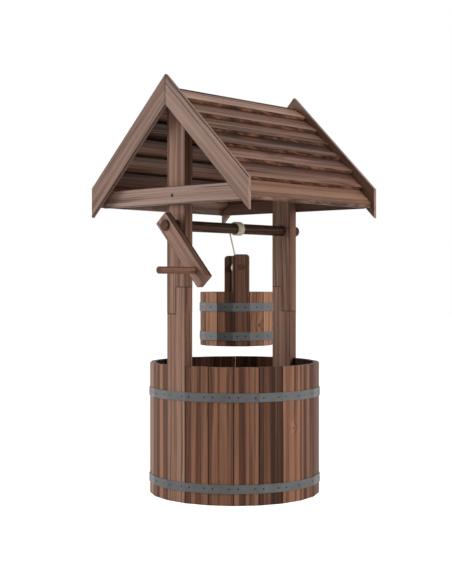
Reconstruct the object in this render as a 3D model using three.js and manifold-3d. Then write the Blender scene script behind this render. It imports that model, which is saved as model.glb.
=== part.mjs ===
// Wishing well planter: a coopered half barrel with two posts, a louvred gable roof,
// a windlass with a crank, and a small coopered bucket that hangs on a rope.
// Millimetres, +Z up. The gable with the crank faces -Y and the ridge runs along Y.
import * as THREE from 'three';
import { mergeVertices } from 'three/addons/utils/BufferGeometryUtils.js';
import Module from 'manifold-3d';

const wasm = await Module();
wasm.setup();

// General clearances
const fit_gap = 0.3;          // between pieces that touch
const running_gap = 0.6;      // round the turning axle
const cut_overrun = 5;        // how far a cutter reaches past what it cuts

// Barrel
const barrel_facets = 22;     // 20 staves and the feet of the two posts
const barrel_apothem = 241;   // axis to the outside flats
const barrel_height = 370.5;
const stave_thickness = 15;
const stave_gap = 1.2;        // open seam between neighbouring staves
const stave_chamfer = 1.6;    // softened outer edges beside each seam
const hoop_height = 24.2;
const hoop_thickness = 1.6;
const barrel_hoop_foot_room = 32.4;  // ground to the lower hoop
const barrel_hoop_rim_room = 69.6;   // rim to the upper hoop
const floor_thickness = 15;
const floor_bottom = 58;
const cleat_width = 45;
const cleat_thickness = 18;
const cleat_spacing = 210;    // between the centres of the two floor cleats
const cleat_end_room = 22;    // cleat end to the inside of the wall
const drain_radius = 10;
const drain_ring_radius = 70;
const drain_count = 4;

// Posts, each a lower and an upper length joined side by side in a half lap
const post_thickness = 29.6;
const post_side_room = 0.8;   // side of the post to the corner of its facet
const post_side_gap = 1.1;    // post to the staves beside it
const lap_height = 73.5;
const lap_below_axle = 167;   // top of the lap to the axle

// Roof, a plain gable
const ridge_height = 1160;    // top of the gable boards, the height of the whole well
const roof_pitch_deg = 44.8;
const gable_board_width = 59.3;
const gable_board_thickness = 11;
const gable_mitre_gap = 0.4;
const batten_thickness = 14.8;
const batten_depth = 12;
const batten_room = 1.1;      // batten to the tie beam
const batten_overlap = 1;     // how far batten and board share wood, as they are glued
const slats_per_slope = 6;
const slat_width = 68;
const slat_thickness = 11;
const slat_spacing = 60.9;    // measured down the slope
const first_slat_edge = 81;   // ridge to the lower edge of the top slat, down the slope
const slat_recess = 12.2;     // slats below the top edges of the gable boards
const last_slat_tilt_deg = 1.2;
const last_slat_lap = 3.5;    // how far the lowest slat reaches under the one above
const ridge_lap = 0.4;        // upper corner of the ridge slat on top, beyond the ridge
const ridge_end_gap = 1.1;    // between the two ridge slats
const eave_board_thickness = 19.8;
const eave_board_reach = 49.4; // how far it reaches beyond the lowest slat
const eave_board_face = 18.28; // height of its plumb face
const eave_lap = 12;          // lowest slat over the eave board
const gable_overhang = 11.5;  // foot of the gable board beyond the eave board
const tie_beam_drop = 1.5;    // below the feet of the eave boards
const tie_beam_height = 48.5;
const tie_beam_thickness = 15;

// Windlass
const axle_below_beam = 57.5; // axis to the underside of the tie beams
const axle_radius = 15;
const axle_chamfer = 1.2;
const axle_front_stub = 5;    // axle beyond the crank arm
const axle_rear_stub = 41;    // axle beyond the rear post
const axle_sides = 32;
const arm_beam_gap = 5.2;     // arm to the tie beam
const arm_thickness = 20.5;
const arm_length = 231.5;
const arm_width = 46;
const arm_pivot_inset = 27;   // pivot to the near end of the arm
const arm_rest_deg = -48.4;    // below the horizontal, towards +X
const arm_corner_radius = 2;
const handle_radius = 9.4;
const handle_inset = 40;      // handle to the far end of the arm
const handle_reach = 135;     // handle in front of the arm
const handle_chamfer = 2;
const handle_sides = 24;

// Rope
const rope_diameter = 4.8;
const winding_turns = 5;
const winding_gap = 0.4;      // between neighbouring turns
const winding_start = -1.4;    // where the rope leaves the axle, along the axle
const loop_steps = 24;
const loop_sides = 6;
const drop_sides = 8;
const drop_steps = 9;

// Bucket, hung a little off the axis of the well
const bucket_facets = 14;     // 12 staves and the two long ones that form its ears
const bucket_apothem = 102.3;
const bucket_height = 152;
const bucket_stave_thickness = 12;
const bucket_groove = 1.3;
const bucket_offset = 4;      // along both X and Y
const bucket_turn_deg = 48.8; // from the front of the well to the front ear
const ear_above_dowel = 36;   // axis of the dowel to the top of the ear
const ear_side_room = 0.37;   // side of the ear to the corner of its facet
const ear_corner_radius = 10;
const ear_side_gap = 0.45;
const ear_staves_apart = bucket_facets / 2;
const bucket_hoop_foot_room = 15.7;
const bucket_hoop_rim_room = 30.3;
const base_thickness = 12;
const base_recess = 8.5;      // base above the feet of the staves
const dowel_above_rim = 69.5;
const dowel_below_axle = 112;
const dowel_radius = 9.4;
const dowel_sides = 24;

// Values that follow from the ones above
const pitch = THREE.MathUtils.degToRad(roof_pitch_deg);
const barrel_facet_width = 2 * barrel_apothem * Math.tan(Math.PI / barrel_facets);
const post_width = barrel_facet_width - 2 * post_side_room;
const tie_beam_outer = barrel_apothem + fit_gap + tie_beam_thickness;
const gable_inner_face = tie_beam_outer + batten_room + batten_thickness;
const roof_half_length = gable_inner_face + gable_board_thickness;
const slat_half_length = gable_inner_face - fit_gap;
const slat_tilt = weatherboardTilt();
const batten_top = slat_recess + slat_width * Math.sin(slat_tilt)
  + slat_thickness * Math.cos(slat_tilt) + fit_gap;
const last_slat_edge = first_slat_edge + (slats_per_slope - 1) * slat_spacing;
const last_slat_tilt = THREE.MathUtils.degToRad(last_slat_tilt_deg);
const last_slat_bare = slat_spacing - slat_thickness * Math.sin(slat_tilt);
const last_slat_recess = slat_recess + slat_thickness * Math.cos(slat_tilt) + fit_gap
  + last_slat_lap * (Math.tan(slat_tilt) - Math.tan(last_slat_tilt))
  - last_slat_bare * Math.tan(last_slat_tilt);
const eave_board_top = last_slat_recess + slat_thickness
  + eave_lap * Math.tan(last_slat_tilt) + fit_gap;
const eave_board_under = eave_board_top + eave_board_thickness;
const [eave_board_half_span, eave_edge_height] = roofPoint(
  1, last_slat_edge + eave_board_reach, eave_board_top,
);
const roof_half_width = eave_board_half_span + gable_overhang;
const eave_board_bottom = eave_edge_height - eave_board_face;
const tie_beam_bottom = eave_board_bottom - tie_beam_drop;
const axle_height = tie_beam_bottom - axle_below_beam;
const lap_top = axle_height - lap_below_axle;
const lap_bottom = lap_top - lap_height;
const arm_front_face = tie_beam_outer + arm_beam_gap + arm_thickness;
const handle_throw = arm_length - arm_pivot_inset - handle_inset;
const winding_radius = axle_radius + fit_gap + rope_diameter / 2;
const winding_pitch = rope_diameter + winding_gap;
const dowel_height = axle_height - dowel_below_axle;
const bucket_top = dowel_height - dowel_above_rim;
const bucket_bottom = bucket_top - bucket_height;
const ear_top = dowel_height + ear_above_dowel;
const bucket_facet_width = 2 * bucket_apothem * Math.tan(Math.PI / bucket_facets);
const ear_width = bucket_facet_width - 2 * ear_side_room;
const bucket_turn = THREE.MathUtils.degToRad(bucket_turn_deg);
const front_reach = arm_front_face + handle_reach;
const rear_reach = roof_half_length;

// Finishes
const finishes = {
  barrel_wood: new THREE.MeshStandardMaterial({ color: 0x7a5a4a, roughness: 0.62, metalness: 0 }),
  roof_wood: new THREE.MeshStandardMaterial({ color: 0x856a5e, roughness: 0.66, metalness: 0 }),
  bucket_wood: new THREE.MeshStandardMaterial({ color: 0x7d5741, roughness: 0.6, metalness: 0 }),
  hoop_steel: new THREE.MeshStandardMaterial({ color: 0x777a7c, roughness: 0.48, metalness: 0.8 }),
  rope: new THREE.MeshStandardMaterial({ color: 0xc2b497, roughness: 0.92, metalness: 0 }),
};

const well = new THREE.Group();
const bucket = new THREE.Group();
bucket.position.set(bucket_offset, bucket_offset, 0);
bucket.rotation.z = bucket_turn;

/** The tilt at which slats of one thickness lie on each other like weatherboards. */
function weatherboardTilt() {
  const rise_share = (slat_thickness + fit_gap) / slat_spacing;
  return Math.asin(rise_share);
}

/** Adds one named piece with a material of its own. */
function addPiece(parent, name, geometry, finish) {
  const piece = new THREE.Mesh(geometry, finishes[finish].clone());
  piece.name = name;
  parent.add(piece);
  return piece;
}

/** A closed shape through points given as [across, up]. */
function outline(points) {
  return new THREE.Shape(points.map(([across, up]) => new THREE.Vector2(across, up)));
}

/** A round hole for a shape. */
function roundHole(across, up, radius, sides) {
  const hole = new THREE.Path();
  for (let i = 0; i < sides; i += 1) {
    const angle = (2 * Math.PI * i) / sides;
    const x = across + radius * Math.cos(angle);
    const y = up + radius * Math.sin(angle);
    if (i === 0) hole.moveTo(x, y);
    else hole.lineTo(x, y);
  }
  hole.closePath();
  return hole;
}

/** Extrudes a plan shape upwards from one height to another. */
function raise(shape, bottom, top, curve_segments = 1) {
  const solid = new THREE.ExtrudeGeometry(shape, {
    depth: top - bottom, bevelEnabled: false, curveSegments: curve_segments,
  });
  solid.translate(0, 0, bottom);
  return solid;
}

/** Extrudes a front view, [across, up], from the low to the high Y. */
function extrudeBack(shape, y_low, y_high, curve_segments = 1) {
  const solid = new THREE.ExtrudeGeometry(shape, {
    depth: y_high - y_low, bevelEnabled: false, curveSegments: curve_segments,
  });
  solid.rotateX(Math.PI / 2);
  solid.translate(0, y_high, 0);
  return solid;
}

/** Turns a closed geometry into a solid that can be joined or cut. */
function toSolid(geometry) {
  const bare = geometry.clone();
  bare.deleteAttribute('normal');
  bare.deleteAttribute('uv');
  const merged = mergeVertices(bare);
  return new wasm.Manifold(new wasm.Mesh({
    numProp: 3,
    vertProperties: new Float32Array(merged.attributes.position.array),
    triVerts: new Uint32Array(merged.index.array),
  }));
}

/** Turns a solid back into a geometry. */
function toGeometry(solid) {
  const mesh = solid.getMesh();
  const geometry = new THREE.BufferGeometry();
  geometry.setAttribute('position', new THREE.BufferAttribute(new Float32Array(mesh.vertProperties), 3));
  geometry.setIndex(new THREE.BufferAttribute(new Uint32Array(mesh.triVerts), 1));
  geometry.computeVertexNormals();
  return geometry;
}

/** Where two lines cross, each given as a unit normal and its distance from the axis. */
function cross(line_a, line_b) {
  const det = line_a.x * line_b.y - line_a.y * line_b.x;
  return [
    (line_a.at * line_b.y - line_b.at * line_a.y) / det,
    (line_a.x * line_b.at - line_b.x * line_a.at) / det,
  ];
}

/** Direction from the axis at a bearing that starts at -Y and turns towards +X. */
function bearing(angle) {
  return { x: Math.sin(angle), y: -Math.cos(angle) };
}

/** Point on the way from one corner to another, a set distance along. */
function along(from, to, distance) {
  const share = distance / Math.hypot(to[0] - from[0], to[1] - from[1]);
  return [from[0] + (to[0] - from[0]) * share, from[1] + (to[1] - from[1]) * share];
}

/**
 * The seam line at one side of a stave. Beside a post or an ear the stave is cut square to it,
 * and elsewhere it is mitred to its neighbour.
 */
function seamLine(ring, index, side) {
  const step = (2 * Math.PI) / ring.facets;
  const neighbour = (index + side + ring.facets) % ring.facets;
  if (neighbour === 0 || neighbour === ring.facets / 2) {
    const across = bearing(step * neighbour + Math.PI / 2);
    return { x: across.x, y: across.y, at: -side * (ring.long_width / 2 + ring.long_gap) };
  }
  const across = bearing(step * (index + side / 2) + Math.PI / 2);
  return { x: across.x, y: across.y, at: -side * ring.seam_gap / 2 };
}

/** Corners of one stave in plan: outer left, outer right, inner right, inner left. */
function staveCorners(ring, index) {
  const facing = bearing((2 * Math.PI * index) / ring.facets);
  const outer = { x: facing.x, y: facing.y, at: ring.apothem };
  const inner = { x: facing.x, y: facing.y, at: ring.apothem - ring.thickness };
  const left = seamLine(ring, index, -1);
  const right = seamLine(ring, index, 1);
  return [cross(outer, left), cross(outer, right), cross(inner, right), cross(inner, left)];
}

/** Plan outline of one stave, its outer edges chamfered. */
function staveOutline(ring, index) {
  const [outer_left, outer_right, inner_right, inner_left] = staveCorners(ring, index);
  return outline([
    along(outer_left, inner_left, ring.chamfer),
    along(outer_left, outer_right, ring.chamfer),
    along(outer_right, outer_left, ring.chamfer),
    along(outer_right, inner_right, ring.chamfer),
    inner_right,
    inner_left,
  ]);
}

/** Regular outline of a coopered ring, its first flat facing -Y. */
function facetRing(facets, apothem) {
  const radius = apothem / Math.cos(Math.PI / facets);
  const corners = [];
  for (let i = 0; i < facets; i += 1) {
    const corner = bearing((2 * Math.PI * (i - 0.5)) / facets);
    corners.push([radius * corner.x, radius * corner.y]);
  }
  return corners;
}

/** A flat steel band that follows the flats of a coopered ring. */
function hoop(facets, apothem, bottom) {
  const inside = apothem + fit_gap;
  const shape = outline(facetRing(facets, inside + hoop_thickness));
  shape.holes.push(outline(facetRing(facets, inside).reverse()));
  return raise(shape, bottom, bottom + hoop_height);
}

const barrel_ring = {
  facets: barrel_facets,
  apothem: barrel_apothem,
  thickness: stave_thickness,
  chamfer: stave_chamfer,
  seam_gap: stave_gap,
  long_width: post_width,
  long_gap: post_side_gap,
};

/** The twenty staves between the feet of the posts. */
function addBarrelStaves() {
  let number = 0;
  for (let index = 1; index < barrel_facets; index += 1) {
    if (index === barrel_facets / 2) continue;
    number += 1;
    const name = `barrel_stave_${String(number).padStart(2, '0')}`;
    addPiece(well, name, raise(staveOutline(barrel_ring, index), 0, barrel_height), 'barrel_wood');
  }
}

/** The floor that the soil or pots stand on, with two cleats under it and drain holes. */
function addBarrelFloor() {
  const inside = barrel_apothem - stave_thickness - fit_gap;
  const board = outline(facetRing(barrel_facets, inside));
  for (let i = 0; i < drain_count; i += 1) {
    const angle = (2 * Math.PI * (i + 0.5)) / drain_count;
    const x = drain_ring_radius * Math.cos(angle);
    const y = drain_ring_radius * Math.sin(angle);
    board.holes.push(roundHole(x, y, drain_radius, 16));
  }
  let floor = toSolid(raise(board, floor_bottom, floor_bottom + floor_thickness));
  const cleat_half = Math.sqrt(inside ** 2 - (cleat_spacing / 2) ** 2) - cleat_end_room;
  for (const side of [-1, 1]) {
    const cleat = new THREE.BoxGeometry(cleat_width, 2 * cleat_half, cleat_thickness + fit_gap);
    cleat.translate(side * cleat_spacing / 2, 0, floor_bottom - (cleat_thickness - fit_gap) / 2);
    floor = floor.add(toSolid(cleat));
    const notch = new THREE.BoxGeometry(
      post_width + 2 * post_side_gap,
      post_thickness + fit_gap + cut_overrun,
      floor_thickness + 2 * cut_overrun,
    );
    const notch_centre = barrel_apothem - (post_thickness + fit_gap - cut_overrun) / 2;
    notch.translate(0, side * notch_centre, floor_bottom + floor_thickness / 2);
    floor = floor.subtract(toSolid(notch));
  }
  addPiece(well, 'barrel_floor', toGeometry(floor), 'barrel_wood');
}

/** The two steel hoops round the barrel. */
function addBarrelHoops() {
  const bottoms = {
    lower: barrel_hoop_foot_room,
    upper: barrel_height - barrel_hoop_rim_room - hoop_height,
  };
  for (const [place, bottom] of Object.entries(bottoms)) {
    addPiece(well, `barrel_hoop_${place}`, hoop(barrel_facets, barrel_apothem, bottom), 'hoop_steel');
  }
}

/** A point of the roof: down the slope from the ridge, and under the gable boards' top edge. */
function roofPoint(side, down, under) {
  return [
    side * (down * Math.cos(pitch) - under * Math.sin(pitch)),
    ridge_height - down * Math.sin(pitch) - under * Math.cos(pitch),
  ];
}

/** Height of the plane that lies a set depth under the gable boards' top edge. */
function roofHeight(half_span, under) {
  return ridge_height - half_span * Math.tan(pitch) - under / Math.cos(pitch);
}

/** Half width of the plane that lies a set depth under the gable boards' top edge. */
function roofHalfSpan(height, under) {
  return (ridge_height - height - under / Math.cos(pitch)) / Math.tan(pitch);
}

/** The lower and upper length of one post, its outer face flush with the barrel. */
function addPost(name, side) {
  const half = post_width / 2;
  const tongue = fit_gap / 2;
  const lower = outline([
    [-half, 0], [half, 0], [half, lap_top - fit_gap], [tongue, lap_top - fit_gap],
    [tongue, lap_bottom - fit_gap], [-half, lap_bottom - fit_gap],
  ]);
  const shoulder = roofHeight(half, batten_top);
  const upper = outline([
    [-half, lap_bottom], [-tongue, lap_bottom], [-tongue, lap_top], [half, lap_top],
    [half, shoulder], [0, roofHeight(0, batten_top)], [-half, shoulder],
  ]);
  upper.holes.push(roundHole(0, axle_height, axle_radius + running_gap, axle_sides));
  const lengths = { lower, upper };
  for (const [part, shape] of Object.entries(lengths)) {
    const solid = extrudeBack(shape, -barrel_apothem, post_thickness - barrel_apothem);
    const piece = addPiece(well, `${name}_post_${part}`, solid, 'barrel_wood');
    piece.rotation.z = side > 0 ? Math.PI : 0;
  }
}

/** One gable board, with the batten that the slats lie on glued behind it. */
function addGableBoard(name, end, side) {
  const mitre = gable_mitre_gap / 2;
  const foot = roof_half_width;
  const board = outline([
    [side * mitre, roofHeight(mitre, 0)],
    [side * mitre, roofHeight(mitre, gable_board_width)],
    [side * foot, roofHeight(foot, gable_board_width)],
    [side * foot, roofHeight(foot, 0)],
  ]);
  const batten_under = batten_top + batten_depth;
  const batten_foot = last_slat_edge - eave_lap - fit_gap;
  const batten = outline([
    [side * mitre, roofHeight(mitre, batten_top)],
    [side * mitre, roofHeight(mitre, batten_under)],
    roofPoint(side, batten_foot, batten_under),
    roofPoint(side, batten_foot, batten_top),
  ]);
  const board_solid = toSolid(extrudeBack(board, gable_inner_face, roof_half_length));
  const batten_inner = gable_inner_face - batten_thickness;
  const batten_solid = toSolid(extrudeBack(batten, batten_inner, gable_inner_face + batten_overlap));
  const geometry = toGeometry(board_solid.add(batten_solid));
  const piece = addPiece(well, name, geometry, 'roof_wood');
  piece.rotation.z = end < 0 ? Math.PI : 0;
}

/** Section of a slat from the top corner of its lower edge, its depth and its tilt. */
function slatSection(side, edge_down, edge_under, tilt, width) {
  const top_down = edge_down - width * Math.cos(tilt);
  const top_under = edge_under + width * Math.sin(tilt);
  const thick_down = slat_thickness * Math.sin(tilt);
  const thick_under = slat_thickness * Math.cos(tilt);
  return outline([
    roofPoint(side, edge_down, edge_under),
    roofPoint(side, top_down, top_under),
    roofPoint(side, top_down + thick_down, top_under + thick_under),
    roofPoint(side, edge_down + thick_down, edge_under + thick_under),
  ]);
}

/** Width of a ridge slat: the one on top reaches the ridge, the other stops under it. */
function ridgeSlatWidth(on_top) {
  const slope = pitch - slat_tilt;
  const [edge_span] = roofPoint(1, first_slat_edge, slat_recess);
  const top_width = (edge_span + ridge_lap) / Math.cos(slope);
  if (on_top) return top_width;
  return 2 * edge_span * Math.cos(slope) - top_width * Math.cos(2 * slope)
    - slat_thickness * Math.sin(2 * slope) - ridge_end_gap;
}

/** Section of the eave board: its lower edge cut plumb and its foot cut level. */
function eaveSection(side) {
  const upper_end = last_slat_edge - eave_lap;
  return outline([
    [side * eave_board_half_span, eave_board_bottom],
    [side * eave_board_half_span, eave_edge_height],
    roofPoint(side, upper_end, eave_board_top),
    roofPoint(side, upper_end, eave_board_under),
    [side * roofHalfSpan(eave_board_bottom, eave_board_under), eave_board_bottom],
  ]);
}

/** The slats of one slope, lapped like weatherboards, and its eave board. */
function addSlope(name, side) {
  for (let index = 0; index < slats_per_slope; index += 1) {
    const edge = first_slat_edge + index * slat_spacing;
    let section = slatSection(side, edge, slat_recess, slat_tilt, slat_width);
    if (index === 0) {
      section = slatSection(side, edge, slat_recess, slat_tilt, ridgeSlatWidth(side < 0));
    } else if (index === slats_per_slope - 1) {
      const width = last_slat_bare + last_slat_lap;
      section = slatSection(side, edge, last_slat_recess, last_slat_tilt, width);
    }
    const solid = extrudeBack(section, -slat_half_length, slat_half_length);
    addPiece(well, `${name}_slat_${index + 1}`, solid, 'roof_wood');
  }
  const eave = extrudeBack(eaveSection(side), -slat_half_length, slat_half_length);
  addPiece(well, `${name}_eave_board`, eave, 'roof_wood');
}

/** The beam across one gable, its ends cut to the pitch and set against the eave boards. */
function addTieBeam(name, end) {
  const top = tie_beam_bottom + tie_beam_height;
  const end_under = eave_board_under + fit_gap;
  const low_half = roofHalfSpan(tie_beam_bottom, end_under);
  const high_half = roofHalfSpan(top, end_under);
  const shape = outline([
    [-low_half, tie_beam_bottom], [low_half, tie_beam_bottom], [high_half, top], [-high_half, top],
  ]);
  const solid = extrudeBack(shape, tie_beam_outer - tie_beam_thickness, tie_beam_outer);
  const piece = addPiece(well, name, solid, 'roof_wood');
  piece.rotation.z = end < 0 ? Math.PI : 0;
}

/** A dowel along Y with its ends chamfered. */
function dowel(radius, chamfer, y_low, y_high, sides) {
  const profile = [
    [0, y_low], [radius - chamfer, y_low], [radius, y_low + chamfer],
    [radius, y_high - chamfer], [radius - chamfer, y_high], [0, y_high],
  ].map(([across, up]) => new THREE.Vector2(across, up));
  return new THREE.LatheGeometry(profile, sides);
}

/** The axle through both posts and the crank arm. */
function addAxle() {
  const solid = dowel(
    axle_radius, axle_chamfer, -arm_front_face - axle_front_stub,
    barrel_apothem + axle_rear_stub, axle_sides,
  );
  const piece = addPiece(well, 'axle', solid, 'barrel_wood');
  piece.position.z = axle_height;
}

/** The crank arm in its rest place, with the holes for the axle and the handle. */
function addCrankArm() {
  const half = arm_width / 2;
  const near = -arm_pivot_inset;
  const far = arm_length - arm_pivot_inset;
  const round = arm_corner_radius;
  const shape = new THREE.Shape();
  shape.moveTo(near + round, -half);
  shape.lineTo(far - round, -half);
  shape.quadraticCurveTo(far, -half, far, round - half);
  shape.lineTo(far, half - round);
  shape.quadraticCurveTo(far, half, far - round, half);
  shape.lineTo(near + round, half);
  shape.quadraticCurveTo(near, half, near, half - round);
  shape.lineTo(near, round - half);
  shape.quadraticCurveTo(near, -half, near + round, -half);
  shape.holes.push(roundHole(0, 0, axle_radius + fit_gap, axle_sides));
  shape.holes.push(roundHole(handle_throw, 0, handle_radius + fit_gap, handle_sides));
  const solid = extrudeBack(shape, -arm_front_face, arm_thickness - arm_front_face, 3);
  const piece = addPiece(well, 'crank_arm', solid, 'barrel_wood');
  piece.position.z = axle_height;
  piece.rotation.y = THREE.MathUtils.degToRad(-arm_rest_deg);
}

/** The round handle through the far end of the arm. */
function addCrankHandle() {
  const rest = THREE.MathUtils.degToRad(arm_rest_deg);
  const solid = dowel(
    handle_radius, handle_chamfer, -front_reach, arm_thickness - arm_front_face, handle_sides,
  );
  const piece = addPiece(well, 'crank_handle', solid, 'barrel_wood');
  piece.position.set(
    handle_throw * Math.cos(rest), 0, axle_height + handle_throw * Math.sin(rest),
  );
}

/** Centre line of the rope on the axle: a straight start, level turns and a straight end. */
function windingPath() {
  const points = [new THREE.Vector3(-winding_radius, winding_start, -rope_diameter)];
  for (let i = 0; i <= winding_turns * loop_steps; i += 1) {
    const turn = i / loop_steps;
    const angle = 2 * Math.PI * turn;
    points.push(new THREE.Vector3(
      -winding_radius * Math.cos(angle),
      winding_start + winding_pitch * turn,
      winding_radius * Math.sin(angle),
    ));
  }
  const last = points[points.length - 1];
  points.push(new THREE.Vector3(last.x, last.y, last.z + rope_diameter));
  return points;
}

/** A closed tube along points, its section carried from step to step without twist. */
function tube(points, radius, sides) {
  const count = points.length;
  const positions = [];
  const indices = [];
  const tangents = points.map((point, i) => {
    const ahead = points[Math.min(i + 1, count - 1)];
    const behind = points[Math.max(i - 1, 0)];
    return ahead.clone().sub(behind).normalize();
  });
  const normal = new THREE.Vector3(0, 1, 0);
  points.forEach((point, i) => {
    normal.addScaledVector(tangents[i], -normal.dot(tangents[i])).normalize();
    const binormal = tangents[i].clone().cross(normal);
    for (let j = 0; j < sides; j += 1) {
      const angle = (2 * Math.PI * j) / sides;
      const corner = point.clone()
        .addScaledVector(normal, radius * Math.cos(angle))
        .addScaledVector(binormal, radius * Math.sin(angle));
      positions.push(corner.x, corner.y, corner.z);
    }
  });
  for (let i = 0; i < count - 1; i += 1) {
    for (let j = 0; j < sides; j += 1) {
      const a = i * sides + j;
      const b = i * sides + ((j + 1) % sides);
      indices.push(a, b, b + sides, a, b + sides, a + sides);
    }
  }
  const last_ring = (count - 1) * sides;
  for (let j = 1; j < sides - 1; j += 1) {
    indices.push(0, j + 1, j);
    indices.push(last_ring, last_ring + j, last_ring + j + 1);
  }
  const geometry = new THREE.BufferGeometry();
  geometry.setAttribute('position', new THREE.Float32BufferAttribute(positions, 3));
  geometry.setIndex(indices);
  geometry.computeVertexNormals();
  return geometry;
}

/** Least distance between the surfaces of turns that lie beside each other. */
function leastSelfGap(points, diameter) {
  let least = Infinity;
  points.forEach((point, i) => {
    for (let j = i + loop_steps / 2; j < points.length; j += 1) {
      least = Math.min(least, point.distanceTo(points[j]) - diameter);
    }
  });
  return least;
}

/** The rope wound on the axle. */
function addRopeWinding() {
  const points = windingPath();
  const least_gap = leastSelfGap(points, rope_diameter);
  console.log(`least gap between rope turns: ${least_gap.toFixed(2)} mm`);
  const piece = addPiece(well, 'rope_winding', tube(points, rope_diameter / 2, loop_sides), 'rope');
  piece.position.z = axle_height;
}

/** The free stretch of rope, from the axle down to the dowel of the bucket. */
function addRopeDrop() {
  const top = axle_height - rope_diameter - fit_gap;
  const end = dowel_height + dowel_radius + fit_gap;
  const route = new THREE.CatmullRomCurve3([
    new THREE.Vector3(-winding_radius, winding_start, top),
    new THREE.Vector3(-winding_radius, winding_start, top - rope_diameter),
    new THREE.Vector3(bucket_offset, bucket_offset, end + rope_diameter),
    new THREE.Vector3(bucket_offset, bucket_offset, end),
  ]);
  const section = outline(facetRing(drop_sides, rope_diameter / 2));
  const solid = new THREE.ExtrudeGeometry(section, { steps: drop_steps, extrudePath: route });
  addPiece(well, 'rope_drop', solid, 'rope');
}

const bucket_ring = {
  facets: bucket_facets,
  apothem: bucket_apothem,
  thickness: bucket_stave_thickness,
  chamfer: bucket_groove,
  seam_gap: 0,
  long_width: ear_width,
  long_gap: ear_side_gap,
};

/** Half of the bucket's wall: its staves glued to one another, with a groove at each seam. */
function addBucketStaves(name, first) {
  const outside = [];
  const inside = [];
  const last = first + ear_staves_apart - 2;
  for (let index = first; index <= last; index += 1) {
    const [outer_left, outer_right, inner_right, inner_left] = staveCorners(bucket_ring, index);
    outside.push(along(outer_left, inner_left, bucket_groove));
    outside.push(along(outer_left, outer_right, bucket_groove));
    outside.push(along(outer_right, outer_left, bucket_groove));
    if (index === last) outside.push(along(outer_right, inner_right, bucket_groove));
    if (index === first) inside.push(inner_left);
    inside.push(inner_right);
  }
  const shape = outline([...outside, ...inside.reverse()]);
  addPiece(bucket, name, raise(shape, bucket_bottom, bucket_top), 'bucket_wood');
}

/** One long stave that rises above the rim as an ear, with the hole for the dowel. */
function addEar(name, side) {
  const half = ear_width / 2;
  const round = ear_corner_radius;
  const shape = new THREE.Shape();
  shape.moveTo(-half, bucket_bottom);
  shape.lineTo(half, bucket_bottom);
  shape.lineTo(half, ear_top - round);
  shape.absarc(half - round, ear_top - round, round, 0, Math.PI / 2, false);
  shape.absarc(round - half, ear_top - round, round, Math.PI / 2, Math.PI, false);
  shape.holes.push(roundHole(0, dowel_height, dowel_radius + fit_gap, dowel_sides));
  const solid = extrudeBack(shape, -bucket_apothem, bucket_stave_thickness - bucket_apothem, 6);
  const piece = addPiece(bucket, name, solid, 'bucket_wood');
  piece.rotation.z = side > 0 ? Math.PI : 0;
}

/** The bucket's base board, hoops and carrying dowel. */
function addBucketFittings() {
  const inside = bucket_apothem - bucket_stave_thickness - fit_gap;
  const board = outline(facetRing(bucket_facets, inside));
  const base_bottom = bucket_bottom + base_recess;
  const base = raise(board, base_bottom, base_bottom + base_thickness);
  addPiece(bucket, 'bucket_base', base, 'bucket_wood');
  const bottoms = {
    lower: bucket_bottom + bucket_hoop_foot_room,
    upper: bucket_top - bucket_hoop_rim_room - hoop_height,
  };
  for (const [place, bottom] of Object.entries(bottoms)) {
    addPiece(bucket, `bucket_hoop_${place}`, hoop(bucket_facets, bucket_apothem, bottom), 'hoop_steel');
  }
  const rod = dowel(dowel_radius, fit_gap, -bucket_apothem, bucket_apothem, dowel_sides);
  const piece = addPiece(bucket, 'bucket_dowel', rod, 'bucket_wood');
  piece.position.z = dowel_height;
}

addBarrelStaves();
addBarrelFloor();
addBarrelHoops();
addPost('front', -1);
addPost('rear', 1);
addGableBoard('front_gable_board_left', -1, 1);
addGableBoard('front_gable_board_right', -1, -1);
addGableBoard('rear_gable_board_left', 1, -1);
addGableBoard('rear_gable_board_right', 1, 1);
addSlope('left', -1);
addSlope('right', 1);
addTieBeam('front_tie_beam', -1);
addTieBeam('rear_tie_beam', 1);
addAxle();
addCrankArm();
addCrankHandle();
addRopeWinding();
addRopeDrop();
addBucketStaves('bucket_staves_right', 1);
addBucketStaves('bucket_staves_left', 1 + ear_staves_apart);
addEar('bucket_ear_front', -1);
addEar('bucket_ear_rear', 1);
addBucketFittings();

// The origin is the centre of the whole footprint, handle included, on the ground.
const model = new THREE.Group();
well.add(bucket);
well.position.y = (front_reach - rear_reach) / 2;
model.add(well);

export default model;
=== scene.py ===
"""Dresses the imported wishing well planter: timber, hoops, fastenings, rope, camera and light.

Everything is in metres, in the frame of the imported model: +Z up, the gable with the crank
towards -Y, and the barrel's axis at y = WELL_Y.
"""

import logging
import math
from dataclasses import dataclass
from enum import Enum
from functools import cache, cached_property
from typing import Callable, Optional, Union

import bmesh
import bpy
import numpy as np
from mathutils import Matrix, Vector

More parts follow.
